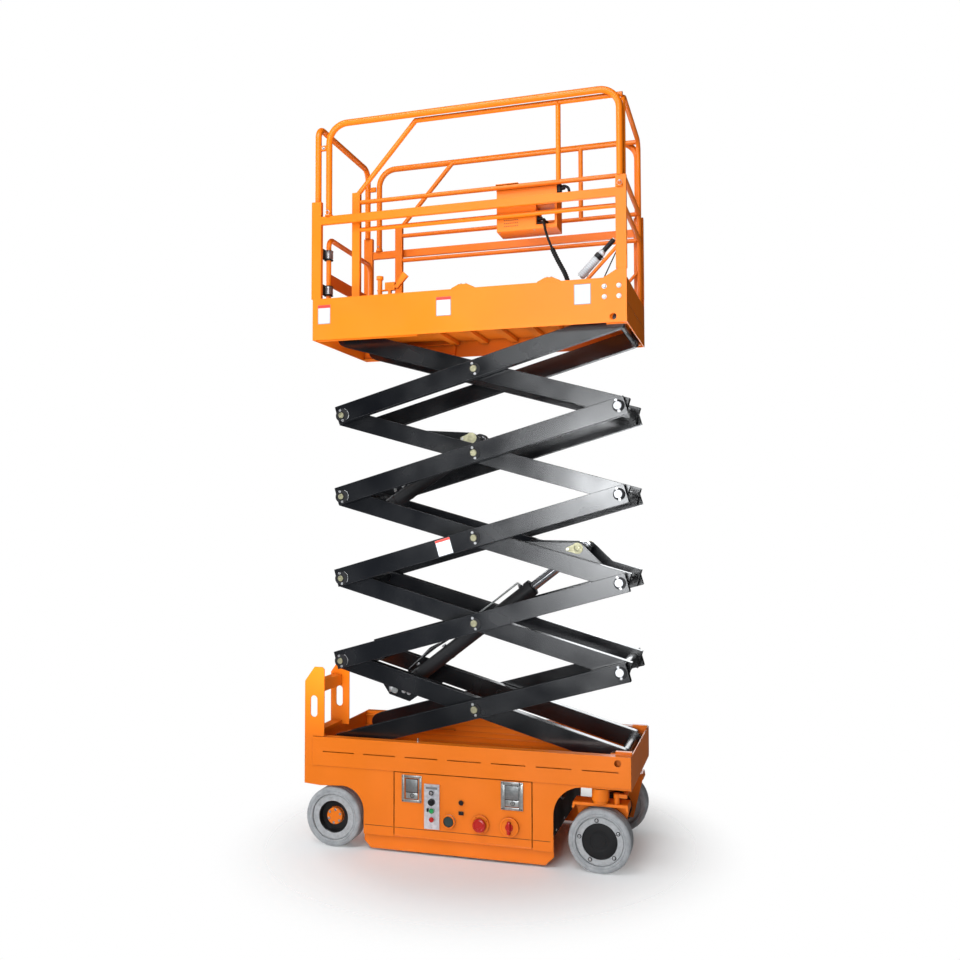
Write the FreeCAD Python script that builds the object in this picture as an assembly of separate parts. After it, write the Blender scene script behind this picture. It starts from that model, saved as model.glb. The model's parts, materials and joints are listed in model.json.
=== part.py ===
"""Self-propelled electric scissor lift with a sliding deck extension.

Frame: millimetres, +Z up, +X towards the steered wheels, -Y is the controls side.
The origin is on the ground under the centre of the machine. The scissor stack is
stored part raised, at REST_ANGLE degrees. Lengths along an arm are measured from
its right-hand pin towards its left-hand pin, and heights across it are positive
on its upper side.
"""
import FreeCAD, Part
import math
import os

V = FreeCAD.Vector

# ---------------------------------------------------------------- overall sizes
HALF_WIDTH = 380.0          # outer face of the side beams
CHASSIS_REAR = -822.0
CHASSIS_FRONT = 870.0
LADDER_REAR = CHASSIS_REAR - 48.0
WHEEL_R = 155.0
WHEEL_WIDTH = 100.0
REAR_X = -702.0
FRONT_X = 713.0
WHEEL_Y = HALF_WIDTH - WHEEL_WIDTH / 2      # middle of each tyre
YOKE_TOP = 2 * WHEEL_R + 22.0
HOUSING_BOTTOM = YOKE_TOP + 14.0
FLOOR_Z = HOUSING_BOTTOM + 58.0             # underside of the chassis floor
BEAM_BOTTOM = FLOOR_Z + 16.0
BEAM_TOP = BEAM_BOTTOM + 150.0
BEAM_DEPTH = 50.0

# ---------------------------------------------------------------- scissor stack
STAGES = 5
ARM_LENGTH = 1570.0         # pin to pin
REST_ANGLE = 16.4
PIVOT_X = 808.0             # fixed pins, at the steered end
BASE_Z = BEAM_TOP - 50.0    # height of the lowest pins
ARM_DEPTH = 96.0
ARM_WIDTH = 45.0
ARM_WALL = 5.0
ARM_RIGHT_END = 40.0        # beam past its right-hand pin
ARM_LEFT_END = 26.0         # beam past its left-hand pin
ROUND_BACK = 6.0            # middle of a rounded right end behind its pin, to clear the end plates
PIN_OFFSET = 8.0           # end pins off the middle of the beam, so that folded stages nest
TRACK_Y = HALF_WIDTH - BEAM_DEPTH - 24.0    # open side of the slide tracks
OUTER_Y = TRACK_Y - 6.0 - ARM_WIDTH         # inner face of the outer arms
INNER_Y = OUTER_Y - 15.0 - ARM_WIDTH        # inner face of the inner arms
PIN_R = 18.0
PIN_CLEAR = 0.05            # radial running clearance at every pin
PIN_PROUD = 5.0             # pin end past the outer arm's face
BOSS_R = PIN_R + 16.0
TUBE_R = PIN_R + 14.0       # cross tubes between a pair of inner arms
LEFT_TUBE_IN = 62.0         # the left-hand cross tube's distance in from the end pin

SIN = math.sin(math.radians(REST_ANGLE))
COS = math.cos(math.radians(REST_ANGLE))
STAGE_RISE = ARM_LENGTH * SIN
SLIDE_X = PIVOT_X - ARM_LENGTH * COS
TOP_Z = BASE_Z + STAGES * STAGE_RISE

# ---------------------------------------------------------------- lift cylinders
LOWER_BASE_A = ARM_LENGTH - 312.0       # along inner arm 1
LOWER_BASE_H = -71.0        # across inner arm 1
LOWER_ROD_A = 267.0         # along inner arm 3
LOWER_ROD_H = 96.0
UPPER_BASE_A = ARM_LENGTH - 150.0       # along inner arm 3
UPPER_BASE_H = -25.0
UPPER_ROD_A = ARM_LENGTH / 2 + 70.0         # along inner arm 4
UPPER_ROD_H = 72.0
BARREL_R = 40.0
ROD_R = 25.0
EYE_R = PIN_R + 18.0
EYE_WIDTH = 54.0
LOWER_BARREL = ARM_LENGTH - 665.0        # base pin to the gland's end
UPPER_BARREL = ARM_LENGTH / 2 - 285.0
LOWER_ROD = ARM_LENGTH - 640.0           # rod eye to the piston rod's foot
UPPER_ROD = ARM_LENGTH / 2 - 285.0
BARREL_CAP = 70.0           # solid end of a barrel
GLAND_LENGTH = 34.0
GLAND_R = BARREL_R + 5.0
EAR_GAP = 33.0              # half gap between the pin stubs at a rod eye
EAR_PLATE = 9.0
EAR_INSET = 8.0             # clear of the arms above when the stack is folded
KEEPER_R = PIN_R + 9.0             # round pin keepers
EAR_TOP = 26.0              # ear plate above its pin

# ---------------------------------------------------------------- chassis
PLATE = 6.0
SEAM_Z = BEAM_BOTTOM + 72.0
SEAM_HEIGHT = 5.0
SEAM_COUNT = 7
SEAM_FIRST_X = -761.0
SEAM_PITCH = 232.0
SEAM_LENGTH = 178.0
TIE_HOLE_X = CHASSIS_FRONT - 64.0
TIE_HOLE_Z = BEAM_TOP - 32.0
TIE_HOLE_R = 17.0
REAR_ARCH_TOP = 2 * WHEEL_R + 12.0
REAR_ARCH_R = WHEEL_R - 31.0
FRONT_ARCH_Z = FLOOR_Z - 144.0        # centre of a front arch's curve
FRONT_ARCH_R = 150.0
PANEL_Y = HALF_WIDTH - 4.0             # outer face of the lower side panels and doors
PANEL_T = 5.0
SKIRT_BOTTOM = 84.0
SKIRT_REAR = REAR_X + WHEEL_R + 19.0
REAR_ARCH_FLAT = SKIRT_REAR - REAR_ARCH_R    # where the flat of a rear arch turns down
SKIRT_FRONT = FRONT_X - WHEEL_R - 74.0
DOOR_REAR = -360.0
DOOR_FRONT = 380.0
DOOR_GAP = 5.0
DOOR_AXIS_Z = 91.0
DOOR_LIP = 10.0             # fold behind a door's edges
SILL_Y = PANEL_Y - PANEL_T - DOOR_LIP - 6.0    # floor's edge, clear of the doors' folds
TRAY_Y = SILL_Y - 3.0
TRAY_INNER_Y = 60.0
TRAY_Z = 150.0
GUARD_Y = PANEL_Y - PANEL_T - 8.0             # outer face of the pothole guards
GUARD_BOTTOM = 12.0
GUARD_TOP = 146.0
GUARD_TONGUE = 180.0        # top of the plate between its guides
GUARD_TRAVEL = 70.0
GUIDE_LENGTH = 36.0
TRACK_HALF = 30.0           # half height inside a slide track
TRACK_WALL = 4.0
TRACK_REAR = -816.0
TRACK_FRONT = -250.0
PAD_HALF = 45.0             # half length of a sliding block
PAD_DEPTH = 18.0            # its reach into the track
LADDER_T = 6.0
LADDER_Y = -50.0            # outer face of the ladder's far plate
LADDER_FRONT = LADDER_REAR + 113.0
LADDER_TOP = BEAM_TOP + 368.0
SLOT_X = LADDER_REAR + 53.0             # hand slots in the ladder's plates
SLOT_R = 20.0
SLOT_LOW = BEAM_TOP + 122.0
SLOT_HIGH = BEAM_TOP + 196.0
STEP_TOPS = (BEAM_TOP + 22.0, BEAM_TOP + 280.0)
STEP_LIP = 58.0
STEP_T = 4.0
STEP_FRONT = LADDER_REAR + 67.0         # clear of the folded arms' ends
KNUCKLE_R = 5.0             # door hinge tubes
HINGE_PIN_R = 3.0
RUN_CLEAR = 0.3             # between sliding faces

# ---------------------------------------------------------------- wheels
TYRE_BORE = WHEEL_R - 36.0
RIM_RECESS_R = 80.0
HUB_R = 44.0
HUB_DISC_R = 88.0
AXLE_R = 20.0
AXLE_TUBE = 60.0
AXLE_END = 43.0             # stub axle's end, in from the tyre's outer face
TYRE_ROUND = 12.0
RIM_LIP = 8.0               # rim's edge, in from the tyre's outer face

# ---------------------------------------------------------------- steering
KINGPIN_R = 24.0
HOUSING_R = 43.0
YOKE_PLATE = 14.0
YOKE_LENGTH = 270.0
YOKE_INNER_Y = WHEEL_Y - WHEEL_WIDTH / 2 - 18.0        # inner face of the yoke's cheek
POST_AHEAD = 80.0           # tie rod post ahead of the kingpin
POST_R = 14.0
TIE_Z = YOKE_TOP + 40.0
TIE_R = 11.0
TIE_AHEAD = 40.0            # tie bar ahead of its end pins
TIE_PIN_R = 7.0
TIE_EYE = 20.0
MOTOR_R = 78.0
MOTOR_SLEEVE_R = 46.0
MOTOR_HUB_R = 60.0
MOTOR_LENGTH = 66.0
MOTOR_END = 35.0            # drive flange, in from the tyre's outer face

# ---------------------------------------------------------------- platform
DECK_REAR = -840.0
DECK_FRONT = 869.0
DECK_Y = HALF_WIDTH - 10.0              # outer face of the side plates
DECK_BOTTOM = TOP_Z - 36.0
DECK_FLOOR = TOP_Z + 62.0   # top of the fixed floor
FLOOR_T = 4.0
SIDE_TOP = TOP_Z + 190.0
UPPER_TRACK_FRONT = -250.0
UPPER_BRACKET = 12.0        # thickness of the upper pivot brackets
GUSSET_RISE = 44.0
DECK_HOLE_X = DECK_FRONT - 69.0
DECK_HOLE_Z = TOP_Z - 7.0
CROSS_MEMBERS = (-270.0, -90.0, 90.0, 270.0, 410.0)
CROSS_WIDTH = 40.0
KEEPERS = ((-45.0, 80.0), (415.0, 534.0))
KEEPER_RISE = 23.0
KEEPER_EDGE = 4.0
KEEPER_SLOPE = 40.0
POST_DEPTH = 25.0
FRONT_POST_X = 816.0
FRONT_POST_TOP = TOP_Z + 704.0
CLAMP_Z = TOP_Z + 1031.0
POST_TOP = TOP_Z + 726.0
BASE_RAIL_Z = TOP_Z + 620.0
BASE_RAIL_H = 44.0
HOOP_TOP = TOP_Z + 1152.0   # centre line of the top rails
HOOP_R = 17.0
HOOP_Y = DECK_Y - 13.0
HOOP_REAR = -751.0
HOOP_FRONT = 838.0
HOOP_BEND = 105.0
ENTRY_X = -822.0
GATE_AXIS_Y = -DECK_Y + 86.0
GATE_X = -786.0
GATE_TOP = TOP_Z + 558.0
GATE_BOTTOM = TOP_Z + 100.0
GATE_R = 14.0
GATE_FAR_Y = DECK_Y - 70.0
GATE_BAR_Z = TOP_Z + 281.0
GATE_BAR_H = 67.0
GATE_HINGES = (TOP_Z + 250.0, TOP_Z + 448.0)

# ---------------------------------------------------------------- extension
EXT_REAR = -626.0
EXT_LIFT = 6.0              # extension floor above the fixed floor
EXT_FLOOR = DECK_FLOOR + EXT_LIFT + 4.0
EXT_Y = DECK_Y - 20.0               # outer face of its toe plates
EXT_WALL = 5.0
EXT_RAIL_Y = EXT_Y - 32.0
EXT_RAIL = 26.0
EXT_BAR_R = 12.0
EXT_TOP_Z = TOP_Z + 1133.0
EXT_MID_Z = TOP_Z + 717.0
EXT_LOW_Z = TOP_Z + 566.0
EXT_POST = 45.0
EXT_BEND_Z = TOP_Z + 770.0
EXT_DIAG_X = -262.0
EXT_STILE_X = 518.0
EXT_FRONT_X = 850.0
EXT_BEND = 55.0
BRACE_X = 541.0             # foot of the front hoop's braces
BRACE_TOP = TOP_Z + 394.0
BRACE_R = 9.0
TUBE_HOLDER_R = 15.0
TUBE_HOLDER_OFF = 36.0      # the holder's axis from its brace
LOCK_X = -464.0
LOCK_PIN_R = 13.0
LOCK_CAP_R = 19.0
LOCK_Y = -EXT_RAIL_Y - 6.0
LOCK_HALF = 9.0
LOCK_LENGTH = 88.0              # pin's middle to the housing's end
LOCK_SHELF = SIDE_TOP + 28.0

# ---------------------------------------------------------------- control box
BOX_REAR = 184.0
BOX_FRONT = 505.0
BOX_BOTTOM = TOP_Z + 490.0
BOX_TOP = TOP_Z + 733.0
BOX_OUTER_Y = -EXT_RAIL_Y + 18.0
BOX_INNER_Y = BOX_OUTER_Y + 130.0
WINDOW_REAR = 396.0
WINDOW_BOTTOM = BOX_BOTTOM + 22.0
WINDOW_TOP = BOX_BOTTOM + 122.0
WINDOW_BACK = BOX_BOTTOM + 68.0             # the window is open right through above this
CABLE_R = 6.5
# the control cable's points, rows: x, y, z
CABLE = [
    (427.0, BOX_INNER_Y - 20.0, 3284.0), (427.0, -226.0, 3284.0), (430.0, -262.0, 3284.0),
    (433.0, -291.0, 3276.0), (438.0, -312.0, 3256.0), (444.0, -321.0, 3229.0),
    (452.0, -323.0, 3196.0), (466.0, -322.0, 3152.0), (486.0, -321.0, 3104.0),
    (508.0, -321.0, 3055.0), (533.0, -323.0, 3008.0), (556.0, -327.0, 2963.0),
    (570.0, -332.0, 2915.0), (575.0, -336.5, 2862.0), (575.0, -336.5, EXT_FLOOR),
]


# door fittings, controls side
# rows: rear x, front x, bottom z, top z
LATCHES = [(-313.0, -205.0, 268.0, 405.0),
           (218.0, 332.0, 271.0, 411.0)]
LATCH_PROUD = 5.0
LATCH_RIM = 16.0
LATCH_KEY_PART = 44.0           # below the paddle
STRIP = (-190.0, -108.0, 141.0, 368.0)          # rear x, front x, bottom z, top z
STRIP_PROUD = 6.0
# rows: x, z, radius, how far it stands from the door
KNOBS = [(-148.0, 327.0, 10.0, 14.0),
         (-146.0, 281.0, 16.0, 22.0),
         (-147.0, 236.0, 12.0, 16.0),
         (-147.0, 192.0, 12.0, 16.0)]
GAUGE = (-57.0, 188.0, 34.0, 6.0)
SOCKET = (9.0, 287.0, 10.0, 4.0)
PORT = (-2.0, 20.0, 228.0, 242.0)               # rear x, front x, bottom z, top z
PORT_PROUD = 4.0
STOP_AT = (110.0, 188.0)        # x, z
STOP_BASE_R = 46.0
STOP_BUTTON_R = 33.0
MAIN_SWITCH_AT = (262.0, 187.0)
MAIN_SWITCH_R = 48.0


# ---------------------------------------------------------------- small makers
def box(x0, x1, y0, y1, z0, z1):
    """A block between two corners."""
    return Part.makeBox(x1 - x0, y1 - y0, z1 - z0, V(x0, y0, z0))


def cyl_y(x, z, r, y0, y1):
    """A cylinder along Y."""
    return Part.makeCylinder(r, y1 - y0, V(x, y0, z), V(0, 1, 0))


def cyl_x(y, z, r, x0, x1):
    """A cylinder along X."""
    return Part.makeCylinder(r, x1 - x0, V(x0, y, z), V(1, 0, 0))


def cyl_z(x, y, r, z0, z1):
    """A cylinder along Z."""
    return Part.makeCylinder(r, z1 - z0, V(x, y, z0), V(0, 0, 1))


def rod(p, q, r):
    """A round bar between two points."""
    axis = q.sub(p)
    return Part.makeCylinder(r, axis.Length, p, axis)


def plate_xz(points, y0, y1):
    """A flat plate, cut to an outline of (x, z) points, between two y faces."""
    corners = [V(x, y0, z) for x, z in points]
    face = Part.Face(Part.makePolygon(corners + corners[:1]))
    return face.extrude(V(0, y1 - y0, 0))


def mirrored(shape):
    """The same piece on the other side of the machine."""
    return shape.mirror(V(0, 0, 0), V(0, 1, 0))


def both(shape):
    """A piece and its mirror image."""
    return [shape, mirrored(shape)]


def fuse(shapes):
    """One solid from pieces that touch."""
    joined = shapes[0].fuse(shapes[1:]) if len(shapes) > 1 else shapes[0]
    return joined.removeSplitter()


def cut(shape, tools):
    """A piece less its holes."""
    return shape.cut(tools).removeSplitter()


def group(shapes):
    """Several solids that share a node."""
    return Part.makeCompound(shapes)


def bent_tube(points, r):
    """A round tube along straight runs joined by arcs.

    points: (x, y, z, bend radius) rows. The end rows take no bend.
    """
    here = V(*points[0][:3])
    edges = []
    for before, row, after in zip(points, points[1:], points[2:]):
        corner = V(*row[:3])
        into = corner.sub(V(*before[:3])).normalize()
        out = V(*after[:3]).sub(corner).normalize()
        half = into.getAngle(out) / 2
        tangent = row[3] * math.tan(half)
        start = corner.sub(into * tangent)
        end = corner.add(out * tangent)
        inward = out.sub(into).normalize()
        middle = corner.add(inward * (row[3] / math.cos(half) - row[3]))
        edges.append(Part.LineSegment(here, start).toShape())
        edges.append(Part.Arc(start, middle, end).toShape())
        here = end
    edges.append(Part.LineSegment(here, V(*points[-1][:3])).toShape())
    path = Part.Wire(edges)
    first = edges[0]
    direction = first.tangentAt(first.FirstParameter)
    ring = Part.Wire(Part.makeCircle(r, V(*points[0][:3]), direction))
    return path.makePipeShell([ring], True, False)


# ---------------------------------------------------------------- scissor arms
def level_z(level):
    """The height of the pins between stage `level` and the next."""
    return BASE_Z + level * STAGE_RISE


def inner_point(stage, along, across):
    """A point on an inner arm, from its distances along and across."""
    x = PIVOT_X - along * COS + across * SIN
    z = level_z(stage - 1) + along * SIN + across * COS
    return V(x, 0, z)


def beam(y0, y1, round_right, round_left, offset):
    """A box-section beam along -X from the right-hand pin, laid flat, with its pin bosses.

    offset: the beam's middle above the right-hand pin, and below the left-hand pin.
    """
    half = ARM_DEPTH / 2
    right = -ROUND_BACK if round_right else ARM_RIGHT_END
    left = ARM_LENGTH + (0.0 if round_left else ARM_LEFT_END)
    tube = box(-left, right, y0, y1, -half, half)
    hollow = box(-left - 1, right + 1, y0 + ARM_WALL, y1 - ARM_WALL, -half + ARM_WALL, half - ARM_WALL)
    tube = tube.cut(hollow)
    lean = math.degrees(math.asin(2 * offset / ARM_LENGTH))
    tube.rotate(V(-ARM_LENGTH / 2, 0, 0), V(0, 1, 0), -lean)
    parts = [tube]
    if round_right:
        parts.append(cyl_y(-ROUND_BACK, offset, half, y0, y1))
    if round_left:
        parts.append(cyl_y(-ARM_LENGTH, -offset, half, y0, y1))
    for pin in (0, -ARM_LENGTH / 2, -ARM_LENGTH):
        parts.append(cyl_y(pin, 0, BOSS_R, y0, y1))
    return fuse(parts)


def place_arm(shape, stage, inner):
    """Turn a flat arm to its rest pose on its own right-hand pin."""
    turn = REST_ANGLE if inner else -REST_ANGLE
    level = stage - 1 if inner else stage
    shape.rotate(V(0, 0, 0), V(0, 1, 0), turn)
    shape.translate(V(PIVOT_X, 0, level_z(level)))
    return shape


def outer_arm(stage):
    """A pair of outer arms, with a bar at their right ends and stub pins at the middle and left."""
    top = stage == STAGES
    bottom = stage == 1
    face = OUTER_Y + ARM_WIDTH
    arm = beam(OUTER_Y, face, top, bottom, -PIN_OFFSET)
    centre = cyl_y(-ARM_LENGTH / 2, 0, PIN_R, INNER_Y, face + PIN_PROUD)
    left_from = OUTER_Y if bottom else INNER_Y
    left_to = TRACK_Y + PAD_DEPTH if bottom else face + PIN_PROUD
    left = cyl_y(-ARM_LENGTH, 0, PIN_R, left_from, left_to)
    bar_end = TRACK_Y + UPPER_BRACKET + PIN_PROUD if top else face + PIN_PROUD
    bar = cyl_y(0, 0, PIN_R, -bar_end, bar_end)
    shape = fuse(both(arm) + both(centre) + both(left) + [bar])
    return place_arm(shape, stage, False)


def ears(along, across, foot_back, foot_ahead):
    """Ear plates inside a pair of inner arms, with pin stubs short of a rod eye.

    foot_back and foot_ahead are the ear's reach along the arm on either side of the pin.
    """
    half = ARM_DEPTH / 2
    top = across + EAR_TOP
    y1 = INNER_Y - EAR_INSET
    y0 = y1 - EAR_PLATE
    shoulder = half - 12
    outline = [(-along - foot_back, 0), (-along + foot_ahead, 0), (-along + foot_ahead, shoulder),
               (-along + 30, top - 6), (-along + 14, top), (-along - 18, top),
               (-along - foot_back, shoulder)]
    plate = plate_xz(outline, y0, y1)
    pad = box(-along - foot_back, -along + foot_ahead, y1 - 1, INNER_Y + 1, 0, shoulder)
    stub = cyl_y(-along, across, PIN_R, EAR_GAP, y1 + 2)
    collar = cyl_y(-along, across, PIN_R + 8, EAR_GAP, EAR_GAP + 14)
    keeper = cyl_y(-along, across, KEEPER_R, y1 - 1, y1 + 3)
    return both(fuse([plate, pad, stub, collar, keeper]))


def base_bracket(along, across):
    """Gussets under a pair of inner arms that carry a cylinder's base pin."""
    half = ARM_DEPTH / 2
    foot = across - 34
    outline = [(-along - 110, -half + 12), (-along + 150, -half + 12), (-along + 95, foot),
               (-along - 25, foot)]
    gusset = plate_xz(outline, INNER_Y, INNER_Y + EAR_PLATE)
    end = INNER_Y + EAR_PLATE + 8
    return both(gusset) + [cyl_y(-along, across, PIN_R, -end, end)]


def inner_arm(stage):
    """A pair of inner arms: a tube round the right end pin and one near the left end join them."""
    bottom = stage == 1
    top = stage == STAGES
    face = INNER_Y + ARM_WIDTH
    parts = both(beam(INNER_Y, face, bottom, top, PIN_OFFSET))
    for pin in (0, -ARM_LENGTH + LEFT_TUBE_IN):
        parts.append(cyl_y(pin, 0, TUBE_R, -INNER_Y - 1, INNER_Y + 1))
    if stage == 1:
        parts.extend(base_bracket(LOWER_BASE_A, LOWER_BASE_H))
    if stage == 3:
        parts.extend(ears(LOWER_ROD_A, LOWER_ROD_H, 330, 180))
        parts.append(cyl_y(-UPPER_BASE_A, UPPER_BASE_H, PIN_R, -INNER_Y - 2, INNER_Y + 2))
    if stage == 4:
        parts.extend(ears(UPPER_ROD_A, UPPER_ROD_H, 300, 110))
    bore = PIN_R + PIN_CLEAR
    holes = [cyl_y(0, 0, bore, -face - 1, face + 1)]
    for pin in (-ARM_LENGTH / 2,) if top else (-ARM_LENGTH / 2, -ARM_LENGTH):
        holes.extend(both(cyl_y(pin, 0, bore, INNER_Y - 1, face + 1)))
    shape = cut(fuse(parts), holes)
    if top:
        shape = fuse([shape] + both(cyl_y(-ARM_LENGTH, 0, PIN_R, face - 1, TRACK_Y + PAD_DEPTH)))
    return place_arm(shape, stage, True)


def slide_pads(x, z):
    """The blocks that turn on a scissor's sliding pins and run in their tracks."""
    size = TRACK_HALF - 1
    block = box(x - PAD_HALF, x + PAD_HALF, TRACK_Y - 3, TRACK_Y + PAD_DEPTH, z - size, z + size)
    bore = cyl_y(x, z, PIN_R + PIN_CLEAR, TRACK_Y - 4, TRACK_Y + PAD_DEPTH + 1)
    return group(both(cut(block, [bore])))


# ---------------------------------------------------------------- lift cylinders
def lift_pins(name):
    """The base pin and the rod pin of a lift cylinder."""
    if name == "lower":
        return inner_point(1, LOWER_BASE_A, LOWER_BASE_H), inner_point(3, LOWER_ROD_A, LOWER_ROD_H)
    return inner_point(3, UPPER_BASE_A, UPPER_BASE_H), inner_point(4, UPPER_ROD_A, UPPER_ROD_H)


def barrel(base, eye, length):
    """A cylinder's barrel: base eye, tube with an open bore, and gland."""
    u = eye.sub(base).normalize()
    tube = rod(base.add(u * 30), base.add(u * length), BARREL_R)
    gland = rod(base.add(u * (length - GLAND_LENGTH)), base.add(u * length), GLAND_R)
    half = EYE_WIDTH / 2
    lug = cyl_y(base.x, base.z, EYE_R, -half, half)
    bore = rod(base.add(u * BARREL_CAP), base.add(u * (length + 1)), ROD_R + PIN_CLEAR)
    pin_hole = cyl_y(base.x, base.z, PIN_R + PIN_CLEAR, -half - 1, half + 1)
    return cut(fuse([tube, gland, lug]), [bore, pin_hole])


def piston_rod(base, eye, length):
    """A piston rod with its eye. The eye's hole has room for the drift at this open pivot."""
    u = eye.sub(base).normalize()
    bar = rod(eye.sub(u * length), eye.sub(u * 20), ROD_R)
    half = EYE_WIDTH / 2
    lug = cyl_y(eye.x, eye.z, EYE_R, -half, half)
    hole = cyl_y(eye.x, eye.z, PIN_R + 1, -half - 1, half + 1)
    return cut(fuse([bar, lug]), [hole])


# ---------------------------------------------------------------- chassis
def side_beam():
    """A hollow side beam with its row of slots and a tie-down hole, controls side."""
    y0 = -HALF_WIDTH
    y1 = y0 + BEAM_DEPTH
    shape = box(CHASSIS_REAR, CHASSIS_FRONT, y0, y1, BEAM_BOTTOM, BEAM_TOP)
    hollow = box(CHASSIS_REAR - 1, CHASSIS_FRONT - PLATE, y0 + PLATE, y1 - PLATE,
                 BEAM_BOTTOM + PLATE, BEAM_TOP - PLATE)
    tools = [hollow, cyl_y(TIE_HOLE_X, TIE_HOLE_Z, TIE_HOLE_R, y0 - 1, y0 + PLATE + 1)]
    for index in range(SEAM_COUNT):
        x0 = SEAM_FIRST_X + index * SEAM_PITCH
        tools.append(box(x0, x0 + SEAM_LENGTH, y0 - 1, y0 + PLATE + 1, SEAM_Z, SEAM_Z + SEAM_HEIGHT))
    return cut(shape, tools)


def side_panel(rear):
    """The panel below a side beam: rear arch, skirt, door opening with its pins, and front arch."""
    y0 = -PANEL_Y
    y1 = y0 + PANEL_T
    top = BEAM_BOTTOM
    tail = plate_xz([(rear, REAR_ARCH_TOP), (rear + 93, REAR_ARCH_TOP - 7),
                     (REAR_ARCH_FLAT, REAR_ARCH_TOP), (REAR_ARCH_FLAT, top), (rear, top)], y0, y1)
    skirt = box(REAR_ARCH_FLAT - 1, SKIRT_FRONT, y0, y1, SKIRT_BOTTOM, top)
    front = box(SKIRT_FRONT - 1, CHASSIS_FRONT, y0, y1, FRONT_ARCH_Z, top)
    shoulder = REAR_ARCH_TOP - REAR_ARCH_R
    front_arch = SKIRT_FRONT + FRONT_ARCH_R
    tools = [box(REAR_ARCH_FLAT - 2, SKIRT_REAR - REAR_ARCH_R, y0 - 1, y1 + 1, 0, REAR_ARCH_TOP),
             box(REAR_ARCH_FLAT - 2, SKIRT_REAR, y0 - 1, y1 + 1, 0, shoulder),
             cyl_y(SKIRT_REAR - REAR_ARCH_R, shoulder, REAR_ARCH_R, y0 - 1, y1 + 1),
             cyl_y(front_arch, FRONT_ARCH_Z, FRONT_ARCH_R, y0 - 1, y1 + 1),
             box(front_arch, CHASSIS_FRONT + 1, y0 - 1, y1 + 1, 0, FRONT_ARCH_Z + FRONT_ARCH_R),
             box(DOOR_REAR, DOOR_FRONT, y0 - 1, y1 + 1, SKIRT_BOTTOM - 1, top + 1)]
    return fuse([cut(fuse([tail, skirt, front]), tools)] + door_pins())


def door_pins():
    """Short pins from the door pillars into the ends of a door's hinge tube, controls side."""
    y = -PANEL_Y + PANEL_T / 2
    return [cyl_x(y, DOOR_AXIS_Z, HINGE_PIN_R, DOOR_REAR - 8, DOOR_REAR + 30),
            cyl_x(y, DOOR_AXIS_Z, HINGE_PIN_R, DOOR_FRONT - 30, DOOR_FRONT + 8)]


def tray():
    """The open equipment tray behind a door, its pillars and the guard's guides, controls side."""
    y0 = -TRAY_Y
    y1 = -TRAY_INNER_Y
    x0 = SKIRT_REAR + 6
    x1 = SKIRT_FRONT - 6
    wall = PANEL_T
    roof = FLOOR_Z
    parts = [box(x0, x1, y0, y1, TRAY_Z, TRAY_Z + wall),
             box(x0, x0 + wall, y0, y1, TRAY_Z, roof),
             box(x1 - wall, x1, y0, y1, TRAY_Z, roof),
             box(x0, x1, y1 - wall, y1, TRAY_Z, roof)]
    inside = -PANEL_Y + PANEL_T
    guide_top = GUARD_TONGUE + GUARD_TRAVEL
    for a, b in ((x0, DOOR_REAR - 4), (DOOR_FRONT + 4, x1)):
        parts.append(box(a, b, inside, y0 + 4, guide_top + 10, roof))
    for a, b in ((x0, x0 + GUIDE_LENGTH), (x1 - GUIDE_LENGTH, x1)):
        parts.append(box(a, b, inside, -GUARD_Y - RUN_CLEAR, GUARD_TOP + 14, guide_top + 11))
        parts.append(box(a, b, -GUARD_Y + PANEL_T + RUN_CLEAR, y0 + 1, TRAY_Z, guide_top + 11))
    return fuse(parts)


def chassis_frame():
    """Side beams, floor, end plates, pivot brackets and bar, slide tracks and kingpin housings."""
    inner = HALF_WIDTH - BEAM_DEPTH
    parts = both(side_beam())
    front = CHASSIS_FRONT - 1
    parts.append(box(CHASSIS_REAR, front, -SILL_Y, SILL_Y, FLOOR_Z, FLOOR_Z + PLATE))
    parts.extend(both(box(CHASSIS_REAR, front, inner - 4, SILL_Y, FLOOR_Z, BEAM_BOTTOM + 1)))
    panel_in = PANEL_Y - PANEL_T
    for x in (CHASSIS_REAR, CHASSIS_FRONT - PLATE):
        parts.append(box(x, x + PLATE, 1 - HALF_WIDTH, HALF_WIDTH - 1, BEAM_BOTTOM + 1, BEAM_TOP - 1))
        parts.append(box(x, x + PLATE, -panel_in, panel_in, FLOOR_Z, BEAM_BOTTOM + 2))
    bracket_y = INNER_Y + ARM_WIDTH + 10
    parts.extend(both(box(PIVOT_X - 55, front, bracket_y, bracket_y + 12, FLOOR_Z, BEAM_TOP - 12)))
    block = box(PIVOT_X - 20, CHASSIS_FRONT - 2, TRACK_Y, inner + 1, BEAM_TOP - 60, BEAM_TOP + 14)
    parts.extend(both(block))
    parts.append(cyl_y(PIVOT_X, BASE_Z, PIN_R, -bracket_y - 13, bracket_y + 13))
    for z0 in (BASE_Z - TRACK_HALF - TRACK_WALL, BASE_Z + TRACK_HALF):
        parts.extend(both(box(TRACK_REAR, TRACK_FRONT, TRACK_Y, inner + 1, z0, z0 + TRACK_WALL)))
    housing = cyl_z(FRONT_X, -WHEEL_Y, HOUSING_R, HOUSING_BOTTOM, FLOOR_Z + 1)
    parts.extend(both(housing))
    bore = cyl_z(FRONT_X, -WHEEL_Y, KINGPIN_R + PIN_CLEAR, HOUSING_BOTTOM - 1, FLOOR_Z + PLATE + 1)
    return cut(fuse(parts), both(bore))


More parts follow.
